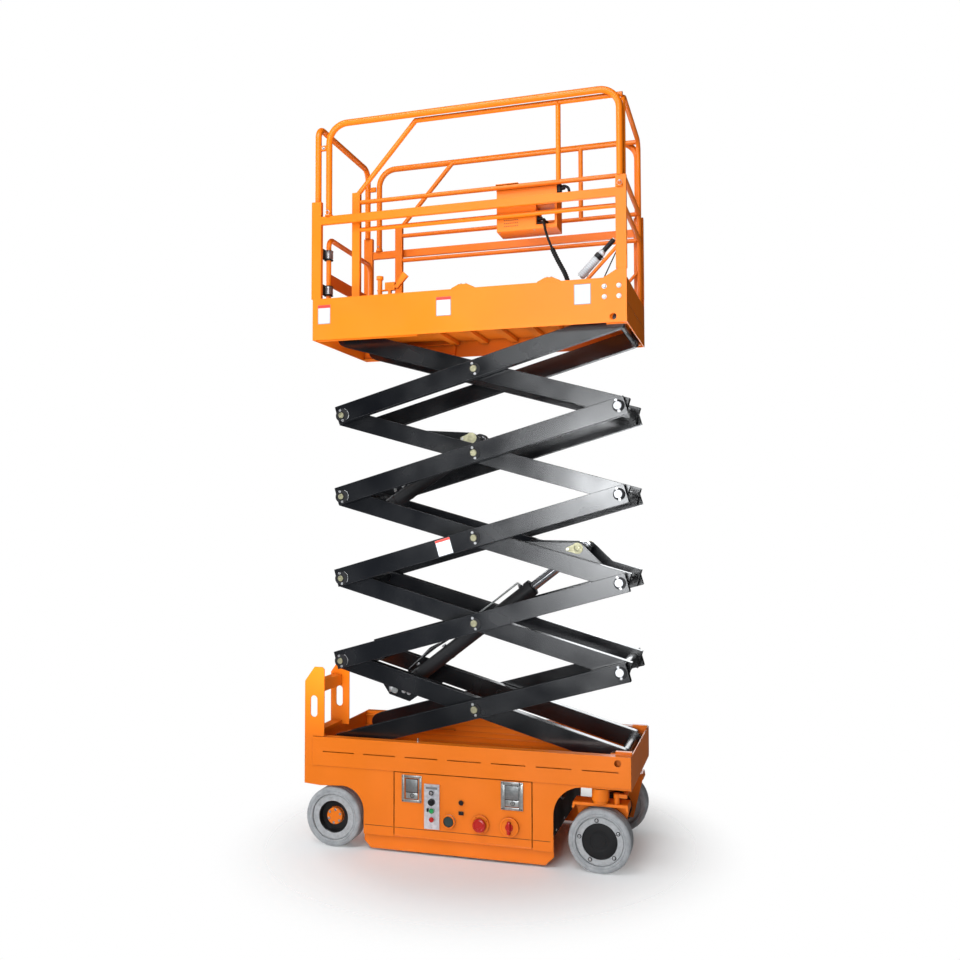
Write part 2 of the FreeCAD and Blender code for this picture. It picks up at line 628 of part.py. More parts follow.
def entry_ladder():
    """Two slotted side plates and two folded steps at the rear end, on the controls side."""
    foot = BEAM_BOTTOM
    upper = BEAM_TOP + 2
    outline = [(LADDER_REAR, foot), (CHASSIS_REAR, foot), (CHASSIS_REAR, upper),
               (LADDER_FRONT, upper), (LADDER_FRONT, LADDER_TOP - 12),
               (LADDER_FRONT - 12, LADDER_TOP), (LADDER_FRONT - 58, LADDER_TOP),
               (LADDER_REAR, LADDER_TOP - 76)]
    near = -PANEL_Y
    far = LADDER_Y - LADDER_T
    parts = [plate_xz(outline, near, near + LADDER_T), plate_xz(outline, far, far + LADDER_T),
             box(LADDER_REAR, CHASSIS_REAR, far, far + LADDER_T, FLOOR_Z + 2, foot + 1)]
    slots = []
    for y in (near, far):
        slot = [cyl_y(SLOT_X, z, SLOT_R, y - 1, y + LADDER_T + 1) for z in (SLOT_LOW, SLOT_HIGH)]
        slot.append(box(SLOT_X - SLOT_R, SLOT_X + SLOT_R, y - 1, y + LADDER_T + 1, SLOT_LOW, SLOT_HIGH))
        slots.extend(slot)
    y0 = near + LADDER_T - 1
    y1 = far + 1
    rear = LADDER_REAR + 8
    for top in STEP_TOPS:
        parts.append(box(rear, STEP_FRONT, y0, y1, top - STEP_T, top))
        parts.append(box(rear, rear + STEP_T, y0, y1, top - STEP_LIP, top))
        front_foot = max(top - STEP_LIP, upper)
        parts.append(box(STEP_FRONT - STEP_T, STEP_FRONT, y0, y1, front_foot, top))
    return cut(fuse(parts), slots)


def battery_pack():
    """The traction batteries in the far tray, as one block."""
    bottom = TRAY_Z + PANEL_T
    return box(-330, 330, TRAY_INNER_Y + 12, TRAY_Y - 14, bottom, bottom + 220)


def power_unit():
    """The hydraulic power unit and charger in the near tray, as one block."""
    bottom = TRAY_Z + PANEL_T
    return box(-300, 300, -TRAY_Y + 14, -TRAY_INNER_Y - 12, bottom, bottom + 200)


def rear_axle():
    """The rear cross tube, its hangers and its two stub axles."""
    inner = WHEEL_Y - WHEEL_WIDTH / 2 - 14
    end = WHEEL_Y + WHEEL_WIDTH / 2 - AXLE_END
    half = AXLE_TUBE / 2
    parts = [box(REAR_X - half, REAR_X + half, -inner, inner, WHEEL_R - half, WHEEL_R + half),
             cyl_y(REAR_X, WHEEL_R, AXLE_R, -end, end)]
    outline = [(REAR_X - half, WHEEL_R - half), (REAR_X + half, WHEEL_R - half),
               (REAR_X + half + 60, FLOOR_Z), (REAR_X - half - 60, FLOOR_Z)]
    parts.extend(both(plate_xz(outline, 182, 190)))
    return fuse(parts)


# ---------------------------------------------------------------- wheels
def tyre(x, side):
    """A solid rubber tyre."""
    y0 = side * WHEEL_Y - WHEEL_WIDTH / 2
    outer = cyl_y(x, WHEEL_R, WHEEL_R, y0, y0 + WHEEL_WIDTH)
    edges = [e for e in outer.Edges if abs(e.Length - 2 * math.pi * WHEEL_R) < 1]
    outer = outer.makeFillet(TYRE_ROUND, edges)
    return outer.cut(cyl_y(x, WHEEL_R, TYRE_BORE, y0 - 1, y0 + WHEEL_WIDTH + 1))


def turned(rows, x, side):
    """A piece turned about a wheel's axis. rows: radius, depth in from the tyre's outer face."""
    face = side * (WHEEL_Y + WHEEL_WIDTH / 2)
    corners = [V(x + r, face - side * depth, WHEEL_R) for r, depth in rows]
    profile = Part.Face(Part.makePolygon(corners + corners[:1]))
    return profile.revolve(V(x, 0, WHEEL_R), V(0, 1, 0), 360)


def rear_rim(side):
    """A dished rim with a deep recess round its hub cap, on its stub axle."""
    bore = AXLE_R + PIN_CLEAR
    inner = WHEEL_WIDTH - 8
    cap = AXLE_END - 1
    seat = TYRE_BORE - RUN_CLEAR
    rows = [(bore, cap), (bore, inner + 4), (HUB_R + 16, inner + 4), (HUB_R + 16, 60), (RIM_RECESS_R, 60),
            (RIM_RECESS_R, inner), (seat, inner), (seat, RIM_LIP + 4), (seat - 4, RIM_LIP),
            (RIM_RECESS_R + 4, RIM_LIP), (RIM_RECESS_R, RIM_LIP + 4), (RIM_RECESS_R, 46), (HUB_R, 46),
            (HUB_R, 24), (0, 24), (0, cap)]
    return turned(rows, REAR_X, side)


def front_rim(side):
    """A rim with a flat ring round a plain centre, on the drive motor's shaft."""
    inner = WHEEL_WIDTH - 8
    back = MOTOR_END - 1
    bore = AXLE_R + PIN_CLEAR
    seat = TYRE_BORE - RUN_CLEAR
    rows = [(0, RIM_LIP + 4), (HUB_DISC_R, RIM_LIP + 4), (HUB_DISC_R, RIM_LIP), (seat - 4, RIM_LIP),
            (seat, RIM_LIP + 4), (seat, inner), (HUB_DISC_R + 8, inner), (HUB_DISC_R + 8, back),
            (bore, back), (bore, back - 9), (0, back - 9)]
    return turned(rows, FRONT_X, side)


# ---------------------------------------------------------------- steering
def steer_yoke(side):
    """A kingpin, a top plate over the tyre, a cheek inside it and the tie rod's post."""
    y_pin = side * WHEEL_Y
    cheek0, cheek1 = sorted((side * (YOKE_INNER_Y - YOKE_PLATE), side * YOKE_INNER_Y))
    top0, top1 = sorted((side * (YOKE_INNER_Y - YOKE_PLATE), side * (WHEEL_Y + 22)))
    half = YOKE_LENGTH / 2
    z0 = YOKE_TOP - YOKE_PLATE
    parts = [box(FRONT_X - half, FRONT_X + half, top0, top1, z0, YOKE_TOP)]
    for s in (1, -1):
        lip = [(FRONT_X + s * half, YOKE_TOP), (FRONT_X + s * (half - 14), YOKE_TOP),
               (FRONT_X + s * (half - 6), z0 - 16), (FRONT_X + s * (half + 4), z0 - 16)]
        parts.append(plate_xz(lip, top0, top1))
    cheek = [(FRONT_X - half, YOKE_TOP - 1), (FRONT_X - half, z0 - 18), (FRONT_X - 84, WHEEL_R - 60),
             (FRONT_X + 84, WHEEL_R - 60), (FRONT_X + half, z0 - 18), (FRONT_X + half, YOKE_TOP - 1)]
    parts.append(plate_xz(cheek, cheek0, cheek1))
    post_x = FRONT_X + POST_AHEAD
    parts.append(cyl_z(FRONT_X, y_pin, KINGPIN_R, YOKE_TOP - 1, FLOOR_Z - 2))
    parts.append(cyl_z(FRONT_X, y_pin, HOUSING_R - 6, YOKE_TOP - 1, HOUSING_BOTTOM - RUN_CLEAR))
    parts.append(cyl_z(post_x, y_pin, POST_R, YOKE_TOP - 1, TIE_Z - TIE_EYE / 2 - RUN_CLEAR))
    parts.append(cyl_z(post_x, y_pin, TIE_PIN_R, TIE_Z - TIE_EYE / 2 - 1, TIE_Z + TIE_EYE / 2 + 2))
    return fuse(parts)


def drive_motor(side):
    """A wheel motor bolted to the inner face of its yoke, with a sleeve and shaft into the rim."""
    face = YOKE_INNER_Y - YOKE_PLATE
    end = WHEEL_Y + WHEEL_WIDTH / 2 - MOTOR_END
    parts = []
    for radius, near, far in ((MOTOR_R, face - MOTOR_LENGTH, face),
                              (MOTOR_SLEEVE_R, face - 1, YOKE_INNER_Y + 1),
                              (MOTOR_HUB_R, YOKE_INNER_Y, end - 8), (AXLE_R, end - 9, end + 7)):
        y0, y1 = sorted((side * near, side * far))
        parts.append(cyl_y(FRONT_X, WHEEL_R, radius, y0, y1))
    return fuse(parts)


def motor_hole(side):
    """The hole through a yoke's cheek for its motor's sleeve."""
    y0, y1 = sorted((side * (YOKE_INNER_Y - YOKE_PLATE - 1), side * (YOKE_INNER_Y + 1)))
    return cyl_y(FRONT_X, WHEEL_R, MOTOR_SLEEVE_R, y0, y1)


def tie_rod():
    """The bar that joins the two yokes, set ahead of its end pins."""
    x_pin = FRONT_X + POST_AHEAD
    x_bar = x_pin + TIE_AHEAD
    half = TIE_EYE / 2
    parts = [cyl_y(x_bar, TIE_Z, TIE_R, -WHEEL_Y, WHEEL_Y)]
    holes = []
    for y, clearance in ((-WHEEL_Y, PIN_CLEAR), (WHEEL_Y, 1.0)):
        parts.append(cyl_z(x_pin, y, POST_R + 2, TIE_Z - half, TIE_Z + half))
        parts.append(box(x_pin, x_bar + TIE_R, y - TIE_R, y + TIE_R, TIE_Z - half + 1, TIE_Z + half - 1))
        holes.append(cyl_z(x_pin, y, TIE_PIN_R + clearance, TIE_Z - half - 1, TIE_Z + half + 2))
    return cut(fuse(parts), holes)


# ---------------------------------------------------------------- doors and guards
def door():
    """A side door with a folded lip and its hinge tube along the bottom, controls side."""
    y0 = -PANEL_Y
    y_lip = y0 + PANEL_T + DOOR_LIP
    x0 = DOOR_REAR + DOOR_GAP
    x1 = DOOR_FRONT - DOOR_GAP
    top = BEAM_BOTTOM - DOOR_GAP
    lip_z = top - 6
    lip_foot = GUARD_TONGUE + GUARD_TRAVEL + 12
    parts = [box(x0, x1, y0, y0 + PANEL_T, DOOR_AXIS_Z - 3, top),
             box(x0 + 8, x1 - 8, y0 + PANEL_T - 1, y_lip, lip_z, lip_z + 3)]
    for x in (x0 + 8, x1 - 11):
        parts.append(box(x, x + 3, y0 + PANEL_T - 1, y_lip, lip_foot, lip_z + 1))
    axis_y = y0 + PANEL_T / 2
    parts.append(cyl_x(axis_y, DOOR_AXIS_Z, KNUCKLE_R, x0, x1))
    bore = HINGE_PIN_R + PIN_CLEAR
    ends = [cyl_x(axis_y, DOOR_AXIS_Z, bore, x0 - 1, x0 + 30),
            cyl_x(axis_y, DOOR_AXIS_Z, bore, x1 - 30, x1 + 1)]
    return cut(fuse(parts), ends)


def latches():
    """Two paddle latches on a door, controls side."""
    face = -PANEL_Y
    dished = face - LATCH_PROUD
    pieces = []
    for x0, x1, z0, z1 in LATCHES:
        rim = box(x0, x1, dished, face, z0, z1)
        dish = box(x0 + LATCH_RIM, x1 - LATCH_RIM, dished - 1, face - 2, z0 + LATCH_RIM, z1 - LATCH_RIM)
        inset = LATCH_RIM + 5
        paddle = box(x0 + inset, x1 - inset, dished - 1, face - 1, z0 + LATCH_KEY_PART, z1 - inset)
        pieces.append(fuse([cut(rim, [dish]), paddle]))
    return pieces


def door_round(x, z, radius, proud):
    """A round switch or dial that stands proud of the controls-side door."""
    return cyl_y(x, z, radius, -PANEL_Y - proud, -PANEL_Y)


def ground_controls():
    """The switch strip, charge gauge and two sockets on the controls-side door."""
    face = -PANEL_Y
    rear, front, bottom, top = STRIP
    strip = box(rear, front, face - STRIP_PROUD, face, bottom, top)
    panel = fuse([strip] + [door_round(*row) for row in KNOBS])
    rear, front, bottom, top = PORT
    port = box(rear, front, face - PORT_PROUD, face, bottom, top)
    return group([panel, door_round(*GAUGE), door_round(*SOCKET), port])


def power_switches():
    """The emergency stop and the main power switch on the controls-side door."""
    face = -PANEL_Y
    x, z = STOP_AT
    stem = door_round(x, z, 20.0, 20.0)
    button = cyl_y(x, z, STOP_BUTTON_R, face - 32, face - 19)
    stop = fuse([door_round(x, z, STOP_BASE_R, 5.0), stem, button])
    x, z = MAIN_SWITCH_AT
    handle = box(x - 8, x + 8, face - 26, face - 5, z - 30, z + 30)
    return group([stop, fuse([door_round(x, z, MAIN_SWITCH_R, 6.0), handle])])


def pothole_guard():
    """A drop-down guard plate behind a door, controls side."""
    outline = [(SKIRT_REAR, GUARD_BOTTOM + 38), (SKIRT_REAR + 36, GUARD_BOTTOM),
               (SKIRT_FRONT - 43, GUARD_BOTTOM), (SKIRT_FRONT, GUARD_BOTTOM + 44),
               (SKIRT_FRONT, GUARD_TOP), (SKIRT_FRONT - 14, GUARD_TOP),
               (SKIRT_FRONT - 14, GUARD_TONGUE), (SKIRT_REAR + 14, GUARD_TONGUE),
               (SKIRT_REAR + 14, GUARD_TOP), (SKIRT_REAR, GUARD_TOP)]
    return plate_xz(outline, -GUARD_Y, -GUARD_Y + PANEL_T)


# ---------------------------------------------------------------- platform
def platform_frame():
    """Side plates, end plates, cross members, pivot brackets and upper slide tracks."""
    inner = DECK_Y - PLATE
    gusset = SIDE_TOP + GUSSET_RISE
    outline = [(DECK_REAR, DECK_BOTTOM), (DECK_FRONT, DECK_BOTTOM), (DECK_FRONT, gusset),
               (DECK_FRONT - 41, gusset), (DECK_FRONT - 118, SIDE_TOP), (DECK_REAR, SIDE_TOP)]
    side = plate_xz(outline, -DECK_Y, -inner)
    side = cut(side, [cyl_y(DECK_HOLE_X, DECK_HOLE_Z, TIE_HOLE_R, -DECK_Y - 1, 1 - inner)])
    parts = both(side)
    under = DECK_FLOOR - FLOOR_T
    for x in (DECK_REAR, DECK_FRONT - PLATE):
        parts.append(box(x, x + PLATE, -inner - 1, inner + 1, DECK_BOTTOM, under))
    for x in CROSS_MEMBERS:
        parts.append(box(x, x + CROSS_WIDTH, -inner - 1, inner + 1, under - 24, under))
    bracket = box(PIVOT_X - 50, DECK_FRONT - 1, TRACK_Y, TRACK_Y + UPPER_BRACKET, DECK_BOTTOM + 2, under)
    hole = cyl_y(PIVOT_X, TOP_Z, PIN_R + PIN_CLEAR, TRACK_Y - 1, TRACK_Y + UPPER_BRACKET + 1)
    parts.extend(both(cut(bracket, [hole])))
    web = TRACK_Y + PAD_DEPTH + 6
    for z0 in (TOP_Z - TRACK_HALF - TRACK_WALL, TOP_Z + TRACK_HALF):
        parts.extend(both(box(DECK_REAR + 1, UPPER_TRACK_FRONT, TRACK_Y, web + 1, z0, z0 + TRACK_WALL)))
    parts.extend(both(box(DECK_REAR + 1, UPPER_TRACK_FRONT, web, web + TRACK_WALL,
                          TOP_Z - TRACK_HALF - TRACK_WALL, under)))
    return fuse(parts)


def platform_floor():
    """The fixed floor plate."""
    inner = DECK_Y - PLATE
    return box(DECK_REAR, DECK_FRONT, -inner, inner, DECK_FLOOR - FLOOR_T, DECK_FLOOR)


def slide_guides():
    """Bearing strips under the extension and the keepers over its toe plates."""
    inner = DECK_Y - PLATE
    top = DECK_FLOOR + EXT_LIFT - RUN_CLEAR
    pieces = [box(DECK_REAR + 40, DECK_FRONT - 10, -inner, -inner + 34, DECK_FLOOR, top)]
    crest = SIDE_TOP + KEEPER_RISE
    for x0, x1 in KEEPERS:
        outline = [(x0, SIDE_TOP), (x1, SIDE_TOP), (x1, SIDE_TOP + KEEPER_EDGE), (x1 - KEEPER_SLOPE, crest),
                   (x0 + KEEPER_SLOPE, crest), (x0, SIDE_TOP + KEEPER_EDGE)]
        block = plate_xz(outline, -DECK_Y, -EXT_Y - 1)
        lip = box(x0 + KEEPER_SLOPE, x1 - KEEPER_SLOPE, -EXT_Y - 2, -EXT_Y + 6, SIDE_TOP + RUN_CLEAR, crest)
        pieces.append(fuse([block, lip]))
    shapes = []
    for piece in pieces:
        shapes.extend(both(piece))
    return group(shapes)


def base_rails():
    """Corner posts and the heavy rails at half height, both sides."""
    y0 = -DECK_Y
    y1 = -DECK_Y + POST_DEPTH
    half = BASE_RAIL_H / 2
    rear_post = box(DECK_REAR - 8, DECK_REAR + 48, y0, y1, SIDE_TOP, POST_TOP)
    front_post = box(FRONT_POST_X, FRONT_POST_X + 54, y0, y1, SIDE_TOP + GUSSET_RISE, FRONT_POST_TOP)
    rail = box(DECK_REAR + 47, FRONT_POST_X + 1, y0, y1 - 5, BASE_RAIL_Z - half, BASE_RAIL_Z + half)
    return group(both(fuse([rear_post, front_post, rail])))


def side_hoops():
    """The folding upper guardrails, pinned up on the heavy rails."""
    foot = BASE_RAIL_Z + BASE_RAIL_H / 2
    points = [(HOOP_REAR, -HOOP_Y, foot, 0), (HOOP_REAR, -HOOP_Y, HOOP_TOP, HOOP_BEND),
              (HOOP_FRONT, -HOOP_Y, HOOP_TOP, HOOP_BEND), (HOOP_FRONT, -HOOP_Y, FRONT_POST_TOP, 0)]
    return group(both(bent_tube(points, HOOP_R)))


def entry_hoop():
    """The upper hoop across the rear end, on the corner posts and clamped to the side hoops."""
    y = HOOP_Y - 14
    points = [(ENTRY_X, -y, POST_TOP, 0), (ENTRY_X, -y, HOOP_TOP, 60), (ENTRY_X, y, HOOP_TOP, 60),
              (ENTRY_X, y, POST_TOP, 0)]
    clamp = box(ENTRY_X, HOOP_REAR - HOOP_R, -y - 6, -y + 6, CLAMP_Z - 14, CLAMP_Z + 14)
    return fuse([bent_tube(points, HOOP_R)] + both(clamp))


def entry_gate():
    """The half-height entry gate: a bent tube with a broad cross bar."""
    top = GATE_TOP - GATE_R
    points = [(GATE_X, GATE_AXIS_Y, GATE_BOTTOM, 0), (GATE_X, GATE_AXIS_Y, top, 50),
              (GATE_X, GATE_FAR_Y, top, 50), (GATE_X, GATE_FAR_Y, GATE_BOTTOM, 0)]
    bar_top = GATE_BAR_Z + GATE_BAR_H
    bar = box(GATE_X - 6, GATE_X + 6, GATE_AXIS_Y, GATE_FAR_Y, GATE_BAR_Z, bar_top)
    return fuse([bent_tube(points, GATE_R), bar])


def gate_hinges():
    """Two hinge rings with their leaves on the near corner post."""
    pieces = []
    for z in GATE_HINGES:
        ring = cyl_z(GATE_X, GATE_AXIS_Y, GATE_R + 6, z - 28, z + 28)
        leaf = box(GATE_X - 18, GATE_X - 9, -DECK_Y + POST_DEPTH, GATE_AXIS_Y - 6, z - 28, z + 28)
        bore = cyl_z(GATE_X, GATE_AXIS_Y, GATE_R + PIN_CLEAR, z - 29, z + 29)
        pieces.append(cut(fuse([ring, leaf]), [bore]))
    return group(pieces)


# ---------------------------------------------------------------- extension
def extension_deck():
    """The sliding floor with its toe plates and front plate."""
    z0 = DECK_FLOOR + EXT_LIFT
    parts = [box(EXT_REAR, DECK_FRONT - 1, -EXT_Y, EXT_Y, z0, EXT_FLOOR)]
    parts.extend(both(box(EXT_REAR, DECK_FRONT, -EXT_Y, -EXT_Y + EXT_WALL, z0, SIDE_TOP)))
    parts.append(box(DECK_FRONT - EXT_WALL, DECK_FRONT, -EXT_Y, EXT_Y, z0, SIDE_TOP))
    return fuse(parts)


def brace_ends():
    """The foot and the head of the controls-side brace of the front hoop."""
    return V(BRACE_X, -EXT_RAIL_Y, EXT_FLOOR), V(EXT_FRONT_X, -EXT_RAIL_Y, BRACE_TOP)


def front_hoop(r, bar_r):
    """The hoop across the extension's front end with its two bars."""
    x = EXT_FRONT_X
    y = EXT_RAIL_Y
    points = [(x, -y, EXT_FLOOR, 0), (x, -y, EXT_TOP_Z, EXT_BEND), (x, y, EXT_TOP_Z, EXT_BEND),
              (x, y, EXT_FLOOR, 0)]
    bars = [cyl_y(x, z, bar_r, -y, y) for z in (EXT_MID_Z, EXT_LOW_Z)]
    return fuse([bent_tube(points, r)] + bars)


def extension_rail():
    """One side of the extension's rails: post, diagonal, long rails, stile and brace, controls side."""
    r = EXT_RAIL / 2
    y = -EXT_RAIL_Y
    post_x = EXT_REAR + EXT_POST / 2
    foot, head = brace_ends()
    lean = head.sub(foot).normalize()
    parts = [box(EXT_REAR, EXT_REAR + EXT_POST, y - r, y + r, EXT_FLOOR, EXT_BEND_Z),
             rod(V(post_x, y, EXT_BEND_Z - 16), V(EXT_DIAG_X, y, EXT_TOP_Z), r),
             Part.makeSphere(r, V(EXT_DIAG_X, y, EXT_TOP_Z)),
             cyl_x(y, EXT_TOP_Z, r, EXT_DIAG_X, EXT_FRONT_X),
             cyl_z(EXT_STILE_X, y, r, EXT_MID_Z, EXT_TOP_Z),
             rod(foot.sub(lean * BRACE_R), head, BRACE_R)]
    parts.extend(cyl_x(y, z, EXT_BAR_R, post_x, EXT_FRONT_X) for z in (EXT_MID_Z, EXT_LOW_Z))
    tools = [front_hoop(r + RUN_CLEAR, EXT_BAR_R + RUN_CLEAR),
             box(EXT_REAR, DECK_FRONT, y - r, y + r, EXT_FLOOR - EXT_RAIL, EXT_FLOOR)]
    return cut(fuse(parts), tools)


def control_box():
    """The platform control box, hooked over the extension's mid rail."""
    shell = box(BOX_REAR, BOX_FRONT, BOX_OUTER_Y, BOX_INNER_Y, BOX_BOTTOM, BOX_TOP)
    front = BOX_FRONT - 12
    window = [box(WINDOW_REAR, front, BOX_OUTER_Y - 1, BOX_INNER_Y - 20, WINDOW_BOTTOM, WINDOW_TOP),
              box(WINDOW_REAR, front, BOX_OUTER_Y - 1, BOX_INNER_Y + 1, WINDOW_BACK, WINDOW_TOP)]
    rail_top = EXT_MID_Z + EXT_RAIL / 2 - 1
    hook = box(BOX_REAR + 2, BOX_REAR + 122, -EXT_RAIL_Y - 12, BOX_OUTER_Y + 1, rail_top, BOX_TOP)
    return fuse([cut(shell, window), hook])


def cable_path():
    """The control cable's points with the radius of each bend."""
    rows = [(*CABLE[0], 0)]
    for before, here, after in zip(CABLE, CABLE[1:], CABLE[2:]):
        into = V(*here).sub(V(*before))
        out = V(*after).sub(V(*here))
        radius = 0.45 * min(into.Length, out.Length) / math.tan(into.getAngle(out) / 2)
        rows.append((*here, radius))
    rows.append((*CABLE[-1], 0))
    return rows


def control_cable():
    """The cable from the control box down to the extension's floor."""
    return bent_tube(cable_path(), CABLE_R)


def extension_lock():
    """The foot lock: a spring pin in its housing and a pedal lever."""
    x = LOCK_X
    y = LOCK_Y
    back = y - LOCK_HALF
    front = y + LOCK_HALF
    foot = box(x - LOCK_PIN_R, x + LOCK_LENGTH, back, front, EXT_FLOOR, EXT_FLOOR + 6)
    post = box(x + 50, x + 66, back, front, EXT_FLOOR + 5, LOCK_SHELF + 1)
    shelf = box(x - LOCK_PIN_R, x + LOCK_LENGTH, back, front, LOCK_SHELF, LOCK_SHELF + 6)
    housing = box(x + 32, x + LOCK_LENGTH, back, front, LOCK_SHELF + 5, LOCK_SHELF + 44)
    pin = cyl_z(x, y, LOCK_PIN_R, EXT_FLOOR + 5, LOCK_SHELF + 64)
    cap = cyl_z(x, y, LOCK_CAP_R, LOCK_SHELF + 62, LOCK_SHELF + 80)
    toe = x + LOCK_LENGTH - 4
    outline = [(toe, LOCK_SHELF + 16), (toe + 18, LOCK_SHELF + 8), (toe + 78, LOCK_SHELF + 72),
               (toe + 52, LOCK_SHELF + 96)]
    lever = plate_xz(outline, back, front)
    return fuse([foot, post, shelf, housing, pin, cap, lever])


def document_tube():
    """A tube clamped along the brace of the extension's front post."""
    foot, head = brace_ends()
    lean = head.sub(foot).normalize()
    across = V(-lean.z, 0, lean.x)
    start = foot.add(lean * 163).add(across * TUBE_HOLDER_OFF)
    parts = [rod(start, start.add(lean * 172), TUBE_HOLDER_R),
             rod(start.add(lean * 160), start.add(lean * 251), TUBE_HOLDER_R - 5)]
    for along in (30, 140):
        centre = start.add(lean * along)
        parts.append(rod(centre, centre.sub(across * TUBE_HOLDER_OFF), 7))
    return cut(fuse(parts), [rod(foot, head, BRACE_R + PIN_CLEAR)])


# ---------------------------------------------------------------- nodes
def scissor_nodes():
    """The arms, sliding blocks and lift cylinders."""
    nodes = {}
    for stage in range(1, STAGES + 1):
        nodes["inner_arm_%d" % stage] = inner_arm(stage)
        nodes["outer_arm_%d" % stage] = outer_arm(stage)
    nodes["lower_slide_pads"] = slide_pads(SLIDE_X, BASE_Z)
    nodes["upper_slide_pads"] = slide_pads(SLIDE_X, TOP_Z)
    cylinders = (("lower", LOWER_BARREL, LOWER_ROD), ("upper", UPPER_BARREL, UPPER_ROD))
    for name, barrel_length, rod_length in cylinders:
        base, eye = lift_pins(name)
        nodes[name + "_cylinder_barrel"] = barrel(base, eye, barrel_length)
        nodes[name + "_cylinder_rod"] = piston_rod(base, eye, rod_length)
    return nodes


def running_gear_nodes():
    """The axle, wheels, yokes, drive motors and tie rod."""
    nodes = {"rear_axle": rear_axle(), "tie_rod": tie_rod()}
    for word, side in (("near", -1), ("far", 1)):
        nodes["rear_tyre_" + word] = tyre(REAR_X, side)
        nodes["rear_rim_" + word] = rear_rim(side)
        nodes["front_tyre_" + word] = tyre(FRONT_X, side)
        nodes["front_rim_" + word] = front_rim(side)
        nodes["steer_yoke_" + word] = cut(steer_yoke(side), [motor_hole(side)])
        nodes["drive_motor_" + word] = drive_motor(side)
    return nodes


def chassis_nodes():
    """The chassis and what hangs on it."""
    return {
        "chassis_frame": chassis_frame(),
        "side_panels": group([side_panel(LADDER_REAR), mirrored(side_panel(CHASSIS_REAR))]),
        "equipment_trays": group(both(tray())),
        "entry_ladder": entry_ladder(),
        "battery_pack": battery_pack(),
        "power_unit": power_unit(),
        "door_near": door(),
        "door_far": mirrored(door()),
        "door_latches_near": group(latches()),
        "door_latches_far": group([mirrored(piece) for piece in latches()]),
        "ground_controls": ground_controls(),
        "power_switches": power_switches(),
        "pothole_guard_near": pothole_guard(),
        "pothole_guard_far": mirrored(pothole_guard()),
    }


def platform_nodes():
    """The platform, its rails and gate, and the sliding extension."""
    return {
        "platform_frame": platform_frame(),
        "platform_floor": platform_floor(),
        "slide_guides": slide_guides(),
        "base_rails": base_rails(),
        "side_hoops": side_hoops(),
        "entry_hoop": entry_hoop(),
        "entry_gate": entry_gate(),
        "gate_hinges": gate_hinges(),
        "extension_deck": extension_deck(),
        "extension_rail_near": extension_rail(),
        "extension_rail_far": mirrored(extension_rail()),
        "extension_front_hoop": front_hoop(EXT_RAIL / 2, EXT_BAR_R),
        "control_box": control_box(),
        "control_cable": control_cable(),
        "extension_lock": extension_lock(),
        "document_tube": document_tube(),
    }


if __name__ == "__main__":
    os.makedirs("parts", exist_ok=True)
    print("cable radii", [round(row[3]) for row in cable_path()[1:-1]])
    for make in (chassis_nodes, running_gear_nodes, scissor_nodes, platform_nodes):
        for name, shape in make().items():
            print(name, len(shape.Solids), round(shape.Volume / 1e6, 2), shape.isValid())
            shape.exportStep("parts/" + name + ".step")
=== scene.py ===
"""Looks of a self-propelled scissor lift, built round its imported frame.

Metres, +Z up, +X towards the steered wheels, -Y is the controls side ("near").
Places come from the frame's boxes and joints. Small trim is made here as meshes.
"""
import json
import math
from contextlib import contextmanager

import bmesh
import bpy
from mathutils import Matrix, Vector


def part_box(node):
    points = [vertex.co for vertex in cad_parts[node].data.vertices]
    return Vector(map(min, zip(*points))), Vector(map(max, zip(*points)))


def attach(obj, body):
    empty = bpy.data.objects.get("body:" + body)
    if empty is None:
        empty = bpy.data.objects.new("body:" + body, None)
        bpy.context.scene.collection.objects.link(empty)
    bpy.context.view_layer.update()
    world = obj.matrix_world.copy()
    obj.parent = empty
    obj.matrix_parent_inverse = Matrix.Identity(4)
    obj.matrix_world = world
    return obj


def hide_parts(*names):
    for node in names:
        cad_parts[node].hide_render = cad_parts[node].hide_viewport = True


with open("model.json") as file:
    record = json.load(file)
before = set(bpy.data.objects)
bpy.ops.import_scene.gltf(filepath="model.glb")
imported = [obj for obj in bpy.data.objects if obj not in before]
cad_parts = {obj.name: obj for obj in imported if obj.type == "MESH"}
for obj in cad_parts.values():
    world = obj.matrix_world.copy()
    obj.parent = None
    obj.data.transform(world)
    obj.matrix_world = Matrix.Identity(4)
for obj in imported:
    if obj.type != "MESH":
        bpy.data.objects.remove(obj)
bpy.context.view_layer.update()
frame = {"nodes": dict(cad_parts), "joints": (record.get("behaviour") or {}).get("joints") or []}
NODES = frame["nodes"]
JOINT = {j["name"]: Vector(j["pos_m"]) for j in frame["joints"] if j.get("pos_m")}


def vec(x, y, z):
    """A vector from its three parts."""
    return Vector((x, y, z))


X = vec(1, 0, 0)
Y = vec(0, 1, 0)
Z = vec(0, 0, 1)
SIDES = (("near", -1, -Y), ("far", 1, Y))
STAGES = 5

# ---- places read from the frame
PIVOT_X = JOINT["lift"].x
SLIDE_X = JOINT["lower_pads_level"].x
CENTRE_X = JOINT["centre_pin_1"].x
PIVOTS = ["lift", *("end_pin_%d" % k for k in range(1, STAGES)), "platform_pivot"]
LEVELS = [JOINT[name].z for name in PIVOTS]
TOP_Z = LEVELS[-1]
ARM_UP = vec(PIVOT_X - SLIDE_X, 0, LEVELS[1] - LEVELS[0]).normalized()
PIN_PROUD = 0.005
OUTER_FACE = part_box("outer_arm_2")[1].y - PIN_PROUD
DOOR_Y = -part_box("door_near")[0].y
DECK_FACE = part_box("platform_frame")[1].y
EXT_FLOOR = TOP_Z + 0.072
ARM_WIDTH = 0.045
EAR_INSET = 0.008
EAR_PLATE = 0.009


